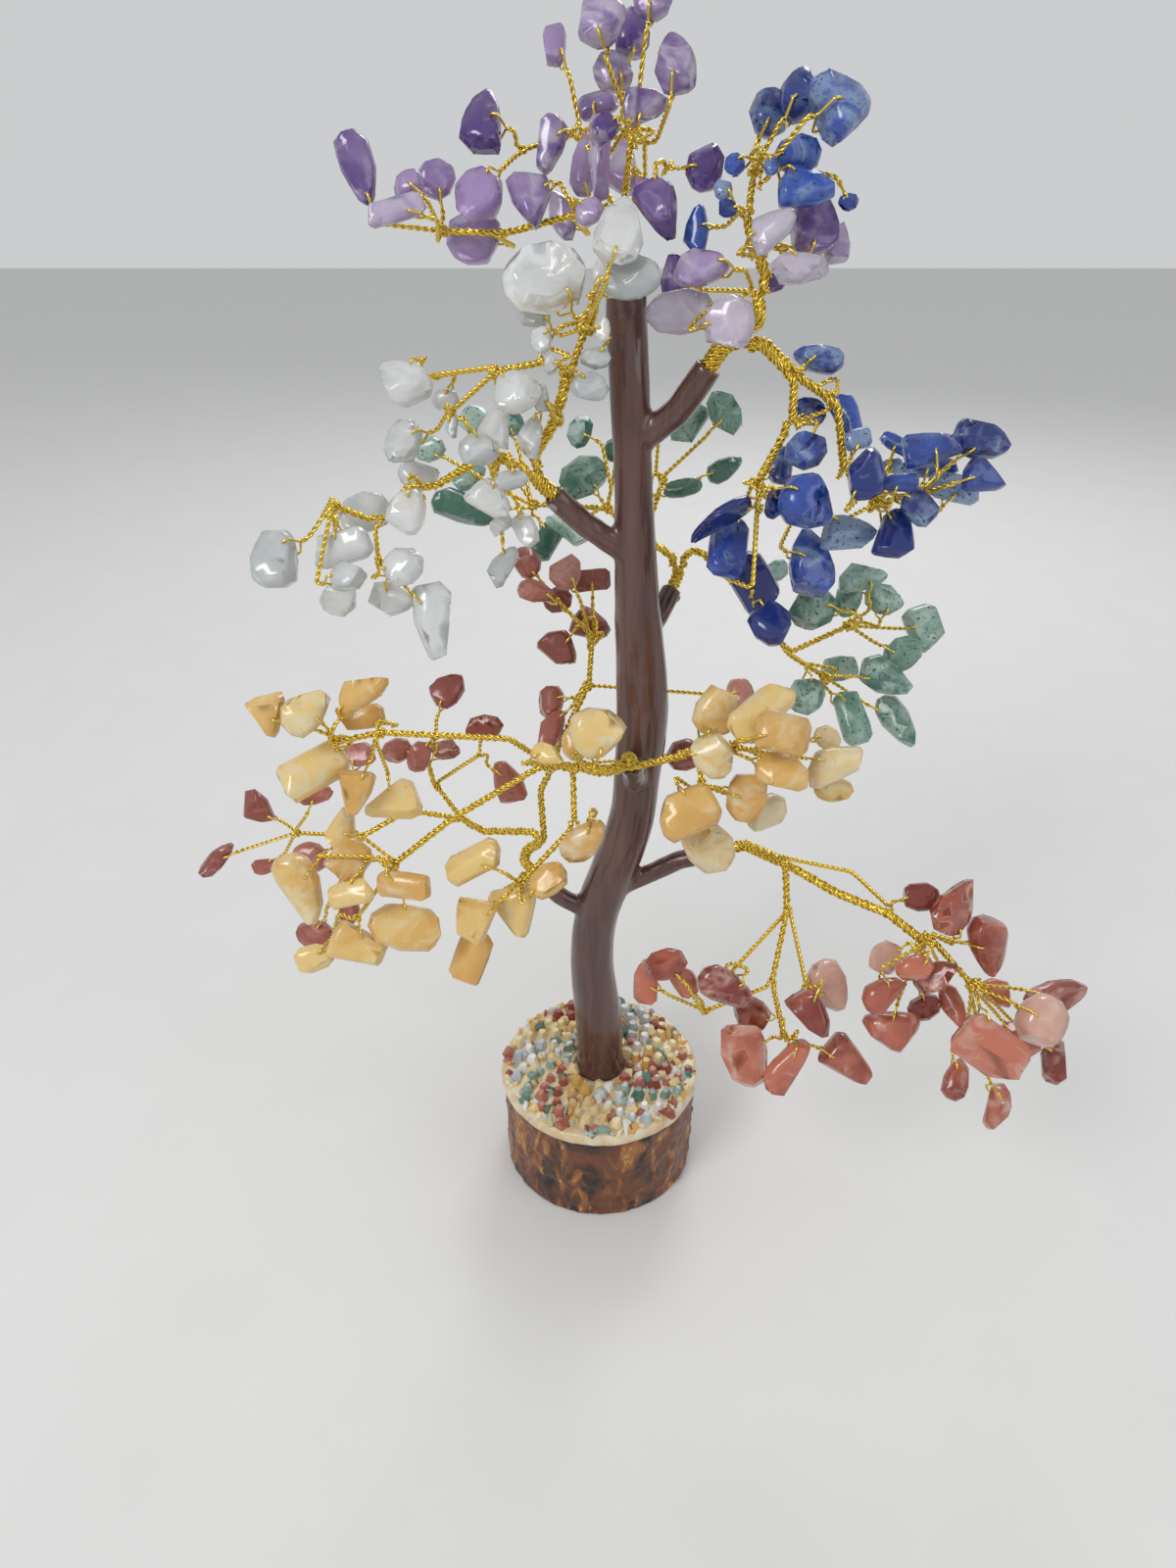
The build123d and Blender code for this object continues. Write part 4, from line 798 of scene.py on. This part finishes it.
@dataclass(frozen=True)
class Wear:
    """How a broken stone is cut into facets and worn by tumbling."""

    facets: int = 0
    facet_depth: float = 0.0
    bevel: float = 0.0
    rough: float = 0.0
    cuts: int = 0
    flat_degrees: float = 7.0
    bevel_profile: float = 0.55
    softening: float = 0.15
    lump_rate: float = 190.0
    merging: float = 0.005 * MM

    def hull(self, points: Array) -> bmesh.types.BMesh:
        """Wrap points in their hull, without those inside.

        Args:
            points: the points.

        Returns:
            The hull, for the caller to free.
        """
        shape = bmesh.new()
        for point in np.unique(np.round(points / SNAP), axis=0) * SNAP:
            shape.verts.new(point)
        bmesh.ops.convex_hull(shape, input=shape.verts)
        inner = [vertex for vertex in shape.verts if not vertex.link_faces]
        bmesh.ops.delete(shape, geom=inner, context="VERTS")
        return shape

    def clipped(self, points: Array, way: Array, reach: float) -> Array:
        """Corners of a convex stone after a cut.

        Args:
            points: corners of the stone.
            way: unit vector that the cut faces.
            reach: how far along it the cut lies.

        Returns:
            The corners that are left and the new ones.
        """
        side = points @ way - reach
        inside, outside = points[side <= 0], points[side > 0]
        below, above = side[side <= 0][:, None], side[side > 0][None]
        share = -below / (above - below)
        crossing = inside[:, None] + (outside[None] - inside[:, None]) * share[..., None]
        shape = self.hull(np.vstack([inside, crossing.reshape(-1, 3)]))
        corners = np.array([vertex.co for vertex in shape.verts])
        shape.free()
        return corners

    def shape(self, points: Array, random: np.random.Generator) -> tuple[Array, list]:
        """Make a worn stone.

        Args:
            points: points that the stone fills.
            random: source of its chance facets and lumps.

        Returns:
            Points and triangles of the stone.
        """
        middle = points.mean(axis=0)
        for _ in range(self.facets):
            way = random.normal(size=3)
            way /= np.linalg.norm(way)
            reach = ((points - middle) @ way).max() * (1 - self.facet_depth * random.random())
            points = self.clipped(points, way, middle @ way + reach)
        shape = self.hull(points)
        bmesh.ops.dissolve_limit(shape, angle_limit=math.radians(self.flat_degrees),
                                 verts=shape.verts, edges=shape.edges)
        if self.bevel:
            bmesh.ops.bevel(shape, geom=list(shape.edges), offset=self.bevel, segments=2,
                            profile=self.bevel_profile, affect="EDGES", clamp_overlap=True)
        bmesh.ops.remove_doubles(shape, verts=shape.verts, dist=self.merging)
        open_edges = [edge for edge in shape.edges if edge.is_boundary]
        if open_edges:
            bmesh.ops.holes_fill(shape, edges=open_edges, sides=0)
        bmesh.ops.triangulate(shape, faces=shape.faces)
        for _ in range(self.cuts):
            bmesh.ops.subdivide_edges(shape, edges=shape.edges, cuts=1)
            bmesh.ops.smooth_vert(shape, verts=shape.verts, factor=self.softening,
                                  use_axis_x=True, use_axis_y=True, use_axis_z=True)
            bmesh.ops.triangulate(shape, faces=shape.faces)
        shape.normal_update()
        drift = Vector(random.uniform(0, 60, size=3))
        for vertex in shape.verts:
            lump = noise.noise(vertex.co * self.lump_rate + drift)
            vertex.co += vertex.normal * self.rough * lump
        bmesh.ops.recalc_face_normals(shape, faces=shape.faces)
        shape.verts.index_update()
        co = np.array([v.co for v in shape.verts])
        faces = np.array([[v.index for v in f.verts] for f in shape.faces])
        shape.free()
        return co, [faces]


TUMBLED = Wear(facets=5, facet_depth=0.34, bevel=0.5 * MM, rough=0.22 * MM, cuts=1)
CRUSHED = Wear()
SET_CHIP = Wear(facets=2, facet_depth=0.3, bevel=0.35 * MM, rough=0.15 * MM)
DROP = Wear(rough=0.1 * MM, cuts=2)


# Sub-assemblies


@dataclass
class Stand:
    """Wood slice with its bark, and the resin bed full of crushed stones."""

    body: str = "stand"
    bark_columns: int = 260
    bark_rows: int = 60
    bark_depth: float = 0.75 * MM
    bark_rate: float = 260.0
    edge: float = 0.5 * MM
    bed_columns: int = 200
    bed_bore: float = 7.65 * MM
    bed_waviness: float = 0.35 * MM
    bed_rate: float = 170.0
    loose_chips: int = 230
    rim_chips: int = 110
    chip_growth: float = 1.45
    chip_points: int = 13
    chip_sizes: tuple = (1.3, 3.1)
    chip_shares: tuple = (0.42, 0.2, 0.16, 0.22)
    lumps: tuple = (0.9, 2.1, 5)

    def lathe(self, name: str, profile: Array, columns: int, material: Material,
              push: float, rate: float) -> bpy.types.Object:
        """Turn a closed profile round the upright axis and make its skin uneven.

        Args:
            name: the object's name.
            profile: radius, height and share of the unevenness of each point, going round.
            columns: number of steps round the axis.
            material: the object's material.
            push: depth of the unevenness.
            rate: how many lumps lie on a metre.

        Returns:
            The new object.
        """
        angles = np.arange(columns) * TURN / columns
        rows = len(profile)
        points = np.empty((columns, rows, 3))
        for column, angle in enumerate(angles):
            for row, (radius, height, share) in enumerate(profile):
                spot = Vector((radius * math.cos(angle), radius * math.sin(angle), height))
                lump = noise.fractal(spot * rate, *self.lumps) * push * share
                flat = (radius + lump) / max(radius, 1e-9)
                points[column, row] = (spot.x * flat, spot.y * flat, height + lump * 0.3)
        here = np.arange(columns)[:, None] * rows + np.arange(rows)[None]
        after = np.roll(here, -1, axis=0)
        quads = np.stack([here, after, np.roll(after, -1, axis=1), np.roll(here, -1, axis=1)],
                         axis=-1).reshape(-1, 4)
        mesher = Mesher()
        mesher.add(points.reshape(-1, 3), [quads])
        return mesher.build(name, material)

    def bark(self) -> None:
        """Rough ring of bark round the slice."""
        low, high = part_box("bark")
        outer = (high.x - low.x) / 2 - self.edge
        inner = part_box("wood_slice")[1].x + 0.03 * MM
        top = high.z
        rise = np.linspace(0.0, top, self.bark_rows)
        profile = [(inner, 0.0, 0.0), (outer - 0.8 * MM, 0.0, 0.0)]
        profile += [(outer, z, min(1.0, z / MM)) for z in rise[1:-1]]
        profile += [(outer - self.edge, top, 0.0), (inner, top, 0.0)]
        piece = self.lathe("bark_skin", np.array(profile), self.bark_columns,
                           BarkFinish().material(), self.bark_depth, self.bark_rate)
        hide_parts("bark")
        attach(piece, self.body)

    def bed(self) -> None:
        """Poured resin with a soft wavy rim."""
        low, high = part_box("resin_bed")
        outer, bottom, top, inner = high.x, low.z, high.z, self.bed_bore
        middle, tall = (bottom + top) / 2, top - bottom
        rim = [(outer - self.edge + self.edge * math.sin(a), middle - tall / 2 * math.cos(a), 1.0)
               for a in np.linspace(0.15, math.pi, 14)]
        rim = [(r - 0.6 * MM * (abs(z - middle) / tall * 2) ** 3, z, s) for r, z, s in rim]
        flat = [(r, top, 0.6) for r in np.linspace(outer - 2.5 * MM, inner + MM, 16)]
        profile = [(inner, bottom, 0.0), (outer - 1.5 * MM, bottom, 0.0), *rim, *flat,
                   (inner, top, 0.0)]
        piece = self.lathe("resin_bed_skin", np.array(profile), self.bed_columns,
                           ResinFinish().material(), self.bed_waviness, self.bed_rate)
        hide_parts("resin_bed")
        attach(piece, self.body)

    def chips(self) -> None:
        """Crushed stones: the large ones of the bed, and many small ones between and over it."""
        random = np.random.default_rng(41)
        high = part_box("resin_bed")[1]
        meshers = {chip: Mesher() for chip in Chip}
        for chip in Chip:
            for points, _ in islands(chip.name.lower() + "_gravel"):
                tint = tuple(random.random(3))
                middle = points.mean(axis=0)
                grown = middle + (points - middle) * self.chip_growth
                meshers[chip].add(*SET_CHIP.shape(grown, random), tint)
        kinds = list(Chip)
        for number in range(self.loose_chips + self.rim_chips):
            size = random.uniform(*self.chip_sizes) * MM
            angle = random.uniform(0, TURN)
            if number < self.loose_chips:
                reach = math.sqrt(random.uniform(0.085, 0.97)) * (high.x - 0.8 * MM)
                height = high.z + size * random.uniform(-0.15, 0.3)
            else:
                reach = high.x - size * random.uniform(0.75, 1.5)
                height = high.z - size * random.uniform(0.0, 0.35)
            points = unit(random.normal(size=(self.chip_points, 3)))
            points *= size * random.uniform(0.45, 1.0, size=(1, 3))
            points += (reach * math.cos(angle), reach * math.sin(angle), height)
            chip = kinds[int(random.choice(len(kinds), p=self.chip_shares))]
            meshers[chip].add(*CRUSHED.shape(points, random), tuple(random.random(3)))
        for chip, mesher in meshers.items():
            piece = mesher.build(chip.name.lower() + "_chips", chip.value.material(), False)
            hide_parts(chip.name.lower() + "_gravel")
            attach(piece, self.body)

    def build(self) -> None:
        """Build and dress the stand."""
        self.bark()
        self.bed()
        self.chips()
        paint(frame["nodes"]["wood_slice"].data, WoodFinish().material())
        LOG.info("stand dressed")


@dataclass
class Trunk:
    """Coated trunk whose stubs run smoothly out of it, with a strand tied round its top."""

    voxel: float = 0.55
    rounds: int = 14
    ridge: float = 0.13 * MM
    ridge_rates: tuple = (420, 45)
    lump_rate: float = 130
    tie_start: float = -2.2
    tie_turns: float = 1.7
    tie_steps: int = 90
    tie_height: float = 5.5 * MM
    tie_rise: float = 1.2 * MM
    tie_lean: float = 0.35

    def melted(self) -> bpy.types.Mesh:
        """Copy the coat at a thousandfold scale, melt its parts together and smooth it.

        Returns:
            The mesh, in millimetres.
        """
        mesh = frame["nodes"]["trunk_coat"].data.copy()
        shape = bmesh.new()
        shape.from_mesh(mesh)
        bmesh.ops.remove_doubles(shape, verts=shape.verts, dist=SNAP)
        bmesh.ops.scale(shape, vec=(1 / MM,) * 3, verts=shape.verts)
        shape.to_mesh(mesh)
        shape.free()
        piece = placed("coat_in_millimetres", mesh)
        remesh = piece.modifiers.new("melt", "REMESH")
        remesh.mode = "VOXEL"
        remesh.voxel_size = self.voxel
        smooth = piece.modifiers.new("smooth", "SMOOTH")
        smooth.factor = 0.5
        smooth.iterations = self.rounds
        graph = bpy.context.evaluated_depsgraph_get()
        melted = bpy.data.meshes.new_from_object(piece.evaluated_get(graph))
        bpy.data.objects.remove(piece)
        return melted

    def skin(self) -> None:
        """Lay faint ridges along the melted coat."""
        mesh = self.melted()
        across, along = self.ridge_rates
        normals = [vertex.normal.copy() for vertex in mesh.vertices]
        spots = [vertex.co * MM for vertex in mesh.vertices]
        for index, (spot, normal) in enumerate(zip(spots, normals)):
            ridges = noise.noise(Vector((spot.x * across, spot.y * across, spot.z * along)))
            lumps = noise.noise(spot * self.lump_rate)
            spots[index] = spot + normal * self.ridge * (ridges + lumps)
        mesh.vertices.foreach_set("co", np.array(spots).ravel())
        mesh.polygons.foreach_set("use_smooth", np.full(len(mesh.polygons), True))
        paint(mesh, CoatFinish().material())
        piece = placed("trunk_coat_skin", mesh)
        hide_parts("trunk_coat")
        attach(piece, "stand")
        LOG.info("trunk_coat_skin: %d points", len(mesh.vertices))

    def tie(self, wire: Material) -> None:
        """Wind one strand round the top of the trunk.

        Args:
            wire: the strand's material.
        """
        mesh = bpy.data.objects["trunk_coat_skin"].data
        points = np.array([v.co for v in mesh.vertices])
        top = points[:, 2].max() - self.tie_height
        band = points[np.abs(points[:, 2] - top) < MM]
        middle = band.mean(axis=0)
        reach = np.linalg.norm(band[:, :2] - middle[:2], axis=1).max() + 0.15 * MM
        end = self.tie_start + self.tie_turns * TURN
        angles = np.linspace(self.tie_start, end, self.tie_steps)
        path = np.column_stack([
            middle[0] + reach * np.cos(angles), middle[1] + reach * np.sin(angles),
            top + reach * self.tie_lean * np.cos(angles)
            + np.linspace(0, self.tie_rise, self.tie_steps)])
        mesher = Mesher()
        mesher.tube(path, WIRE_RADIUS, 8)
        piece = mesher.build("top_tie", wire)
        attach(piece, "stand")

    def build(self, wire: Material) -> None:
        """Build and dress the trunk.

        Args:
            wire: material of the wire core and of the tie.
        """
        self.skin()
        self.tie(wire)
        paint(frame["nodes"]["trunk_wire_core"].data, wire)


@dataclass
class Branch:
    """One branch: a rope of wire pairs, boughs, twisted twigs, loops and stones."""

    name: str
    stone: Stone
    wire: Material
    random: np.random.Generator
    strand: float = WIRE_RADIUS
    pair_pitch: float = 2.9 * MM
    trio_stretch: float = 1.3
    rope_pitch: float = 13.0 * MM
    coreless_pitch: float = 0.55
    packing: float = 0.94
    rope_step: float = 0.32 * MM
    twig_step: float = 0.2 * MM
    loop_step: float = 0.22 * MM
    into_socket: float = 2.5 * MM
    stone_growth: float = 1.07
    thinnest_of_pairs: float = 0.62 * MM
    thinnest_core: float = 0.62 * MM

    @property
    def body(self) -> str:
        """Body that the branch rides on."""
        return f"{self.name}_branch"

    def wound(self, path: Array, count: int, reach: float, pitch: float) -> list[Array]:
        """Wind lines round a path, from a chance angle on.

        Args:
            path: middle line of the winding.
            count: number of lines.
            reach: their distance from the path.
            pitch: length of one turn.

        Returns:
            The points of each line.
        """
        run, first, second = axes_along(path)
        start = self.random.uniform(0, TURN)
        lines = []
        for number in range(count):
            angle = run / pitch * TURN + start + TURN * number / count
            offset = first * np.cos(angle)[:, None] + second * np.sin(angle)[:, None]
            lines.append(path + offset * reach)
        return lines

    def twist(self, mesher: Mesher, path: Array, count: int, reach: float, pitch: float,
              sides: int = 6) -> None:
        """Twist a number of strands round a path, at a reach from it and with a pitch."""
        for line in self.wound(path, count, reach, pitch):
            mesher.tube(line, self.strand, sides)

    def rope(self, mesher: Mesher, path: Array, radius: float) -> None:
        """Wind a bundle: three strands, three pairs, or pairs round a core as it gets thicker.

        Args:
            mesher: collects the strands.
            path: middle line of the bundle.
            radius: outer radius of the bundle.
        """
        path = resampled(path, self.rope_step, 6)
        pair = 2 * self.strand
        if radius < self.thinnest_of_pairs:
            reach = max(radius - self.strand, self.strand * 1.1)
            self.twist(mesher, path, 3, reach, self.pair_pitch * self.trio_stretch)
            return
        middle = max(radius - pair, self.strand)
        pitch = self.rope_pitch * self.random.uniform(0.85, 1.2)
        count = 3
        if middle > self.thinnest_core:
            mesher.tube(path, middle, 10)
            count = int(math.pi / math.asin(pair / middle * self.packing))
        else:
            pitch *= self.coreless_pitch
        for line in self.wound(path, count, middle, pitch):
            self.twist(mesher, line, 2, self.strand,
                       self.pair_pitch * self.random.uniform(0.9, 1.2), 5)

    def place(self, mesher: Mesher, piece: str, *nodes: str) -> bpy.types.Object:
        """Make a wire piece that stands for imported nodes.

        Args:
            mesher: holds the piece's strands.
            piece: the piece's name.
            *nodes: names of the nodes.

        Returns:
            The piece.
        """
        made = mesher.build(piece, self.wire)
        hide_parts(*nodes)
        return made

    def rods(self, part: str) -> list[tuple[Array, float]]:
        """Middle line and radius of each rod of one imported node."""
        return [centreline(*island) for island in islands(f"{self.name}_{part}")]

    def bundle(self) -> None:
        """Rope from inside the stub's socket to the first fork."""
        mouth = mouth_of(self.body)
        path, radius = self.rods("bundle")[0]
        if np.linalg.norm(path[0] - mouth) > np.linalg.norm(path[-1] - mouth):
            path = path[::-1]
        way = path[0] - mouth
        way /= np.linalg.norm(way)
        path = np.vstack([mouth - way * self.into_socket, mouth, path])
        mesher = Mesher()
        self.rope(mesher, path, radius)
        made = self.place(mesher, f"{self.name}_rope", f"{self.name}_bundle",
                          f"{self.name}_wire_root")
        tuple(mouth - way * 1.5 * MM)
        tuple(mouth + way * 2.5 * MM)
        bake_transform(made)

    def boughs(self) -> None:
        """Ropes between the forks."""
        mesher = Mesher()
        for path, radius in self.rods("boughs"):
            self.rope(mesher, path, radius)
        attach(self.place(mesher, f"{self.name}_bough_ropes", f"{self.name}_boughs"), self.body)

    def twigs(self) -> None:
        """Twisted pairs, each with its own pitch."""
        mesher = Mesher()
        for path, _ in self.rods("twigs"):
            self.twist(mesher, resampled(path, self.twig_step, 5), 2, self.strand * 0.98,
                       self.pair_pitch * self.random.uniform(0.8, 1.25))
        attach(self.place(mesher, f"{self.name}_twisted_twigs", f"{self.name}_twigs"), self.body)

    def loops(self) -> None:
        """Single strands through the stones' holes."""
        mesher = Mesher()
        for path, _ in self.rods("loops"):
            mesher.tube(resampled(path, self.loop_step), self.strand, 7)
        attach(self.place(mesher, f"{self.name}_wire_loops", f"{self.name}_loops"), self.body)

    def stones(self, node: str, stone: Stone) -> None:
        """Tumble the stones of one node, each with its own tint and worn edges.

        Args:
            node: the node's name.
            stone: their kind.
        """
        mesher = Mesher()
        for points, _ in islands(node):
            middle = points.mean(axis=0)
            grown = middle + (points - middle) * self.stone_growth
            mesher.add(*TUMBLED.shape(grown, self.random), tuple(self.random.random(3)))
        made = mesher.build(f"{node}_tumbled", stone.value.material())
        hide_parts(node)
        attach(made, self.body)

    def build(self) -> None:
        """Build and dress the branch."""
        self.bundle()
        self.boughs()
        self.twigs()
        self.loops()
        self.stones(f"{self.name}_stones", self.stone)
        if self.stone is Stone.LAPIS:
            self.stones("lapis_branch_amethysts", Stone.AMETHYST)
        LOG.info("%s branch dressed", self.name)


@dataclass
class GlueDrops:
    """Drops of clear glue where some bundles leave their stubs."""

    branches: tuple = ("quartz", "aventurine", "carnelian", "lapis", "jasper")
    hang: tuple = (0.0, -0.5, -0.85)
    size: float = 1.5 * MM
    inwards: float = 1.6 * MM
    sideways: float = 1.7 * MM

    def build(self) -> None:
        """Place a drop below each of these mouths, against the coat."""
        random = np.random.default_rng(17)
        mesher = Mesher()
        for name in self.branches:
            mouth = mouth_of(f"{name}_branch")
            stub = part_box(f"{name}_wire_root")
            back = (np.array(stub[0]) + np.array(stub[1])) / 2 - mouth
            back /= np.linalg.norm(back)
            down = np.array(self.hang) - back * (np.array(self.hang) @ back)
            down /= np.linalg.norm(down)
            points = unit(random.normal(size=(40, 3))) * (self.size * random.uniform(0.7, 1.0))
            points += mouth + back * self.inwards + down * self.sideways
            mesher.add(*DROP.shape(points, random))
        piece = mesher.build("glue_drops", GlueFinish().material())
        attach(piece, "stand")


@dataclass(frozen=True)
class Lamp:
    """Soft square lamp that looks at the middle of the tree."""

    name: str
    spot: tuple
    size: float
    watts: float
    aim: tuple = (0.0, 0.0, 0.16)

    def build(self) -> None:
        """Hang the lamp."""
        data = bpy.data.lights.new(self.name, "AREA")
        data.size = self.size
        data.energy = self.watts
        made = placed(self.name, data)
        made.location = self.spot
        way = Vector(self.aim) - Vector(self.spot)
        made.rotation_euler = way.to_track_quat("-Z", "Y").to_euler()


@dataclass
class Studio:
    """Pale floor, soft lamps and the photograph's camera."""

    eye: tuple = (-3.5 * MM, -238.5 * MM, 267.0 * MM)
    down_tilt: float = 30.1
    lens_px: float = 1109.0
    picture_high_px: float = 1600.0
    sensor_mm: float = 24.0
    floor_size: float = 6.0
    ambient: float = 0.6
    backdrop: float = 0.7
    lamps: tuple = (Lamp("key", (-0.55, -0.65, 0.85), 0.4, 4.6),
                    Lamp("fill", (0.75, -0.45, 0.55), 0.6, 1.2),
                    Lamp("rim", (0.2, 0.8, 0.75), 0.4, 2.6))

    def floor(self) -> None:
        """Plain pale floor."""
        mesher = Mesher()
        half = self.floor_size / 2
        signs = np.array([(-1, -1, 0), (1, -1, 0), (1, 1, 0), (-1, 1, 0)])
        mesher.add(signs * half, [np.array([[0, 1, 2, 3]])])
        graph = Graph("pale_floor")
        grain = graph.noise(30.0, 2.0)
        made = mesher.build("floor", graph.finish(
            Base_Color=graph.blend(grain, (0.76, 0.76, 0.75), (0.80, 0.80, 0.79)),
            Roughness=0.7 + 0.1 * grain))

    def world(self) -> None:
        """Even light, with pale surroundings for the camera, reflections and clear stones."""
        world = bpy.data.worlds.new("studio")
        world.use_nodes = True
        nodes = Nodes(world.node_tree)
        rays = nodes.add("ShaderNodeLightPath", {}, {})
        seen = [Signal(nodes, rays.outputs[f"Is {kind} Ray"])
                for kind in ("Camera", "Glossy", "Transmission")]
        strength = nodes.node("ShaderNodeMapRange", {}, {
            "Value": seen[0] + seen[1] + seen[2],
            "To Min": self.ambient,
            "To Max": self.backdrop,
        })
        nodes.feed(world.node_tree.nodes["Background"],
                   {"Color": (0.86, 0.87, 0.88, 1.0), "Strength": strength})
        bpy.context.scene.world = world

    def camera(self) -> None:
        """Camera with the photograph's place, tilt and lens."""
        data = bpy.data.cameras.new("camera")
        data.sensor_fit = "VERTICAL"
        data.sensor_height = self.sensor_mm
        data.lens = self.sensor_mm * self.lens_px / self.picture_high_px
        data.clip_start = 0.01
        made = placed("camera", data)
        made.location = self.eye
        made.rotation_euler = (math.radians(90 - self.down_tilt), 0, 0)
        bpy.context.scene.camera = made

    def build(self) -> None:
        """Set up the studio."""
        self.floor()
        for lamp in self.lamps:
            lamp.build()
        self.world()
        self.camera()
        bpy.context.scene.view_settings.view_transform = "Standard"


def main() -> None:
    """Build every sub-assembly in order."""
    logging.basicConfig(level=logging.INFO)
    wire = WireFinish().material()
    Stand().build()
    Trunk().build(wire)
    for number, stone in enumerate(Stone):
        random = np.random.default_rng(100 + number)
        Branch(stone.value.name, stone, wire, random).build()
    GlueDrops().build()
    Studio().build()


if __name__ == "__main__":
    main()
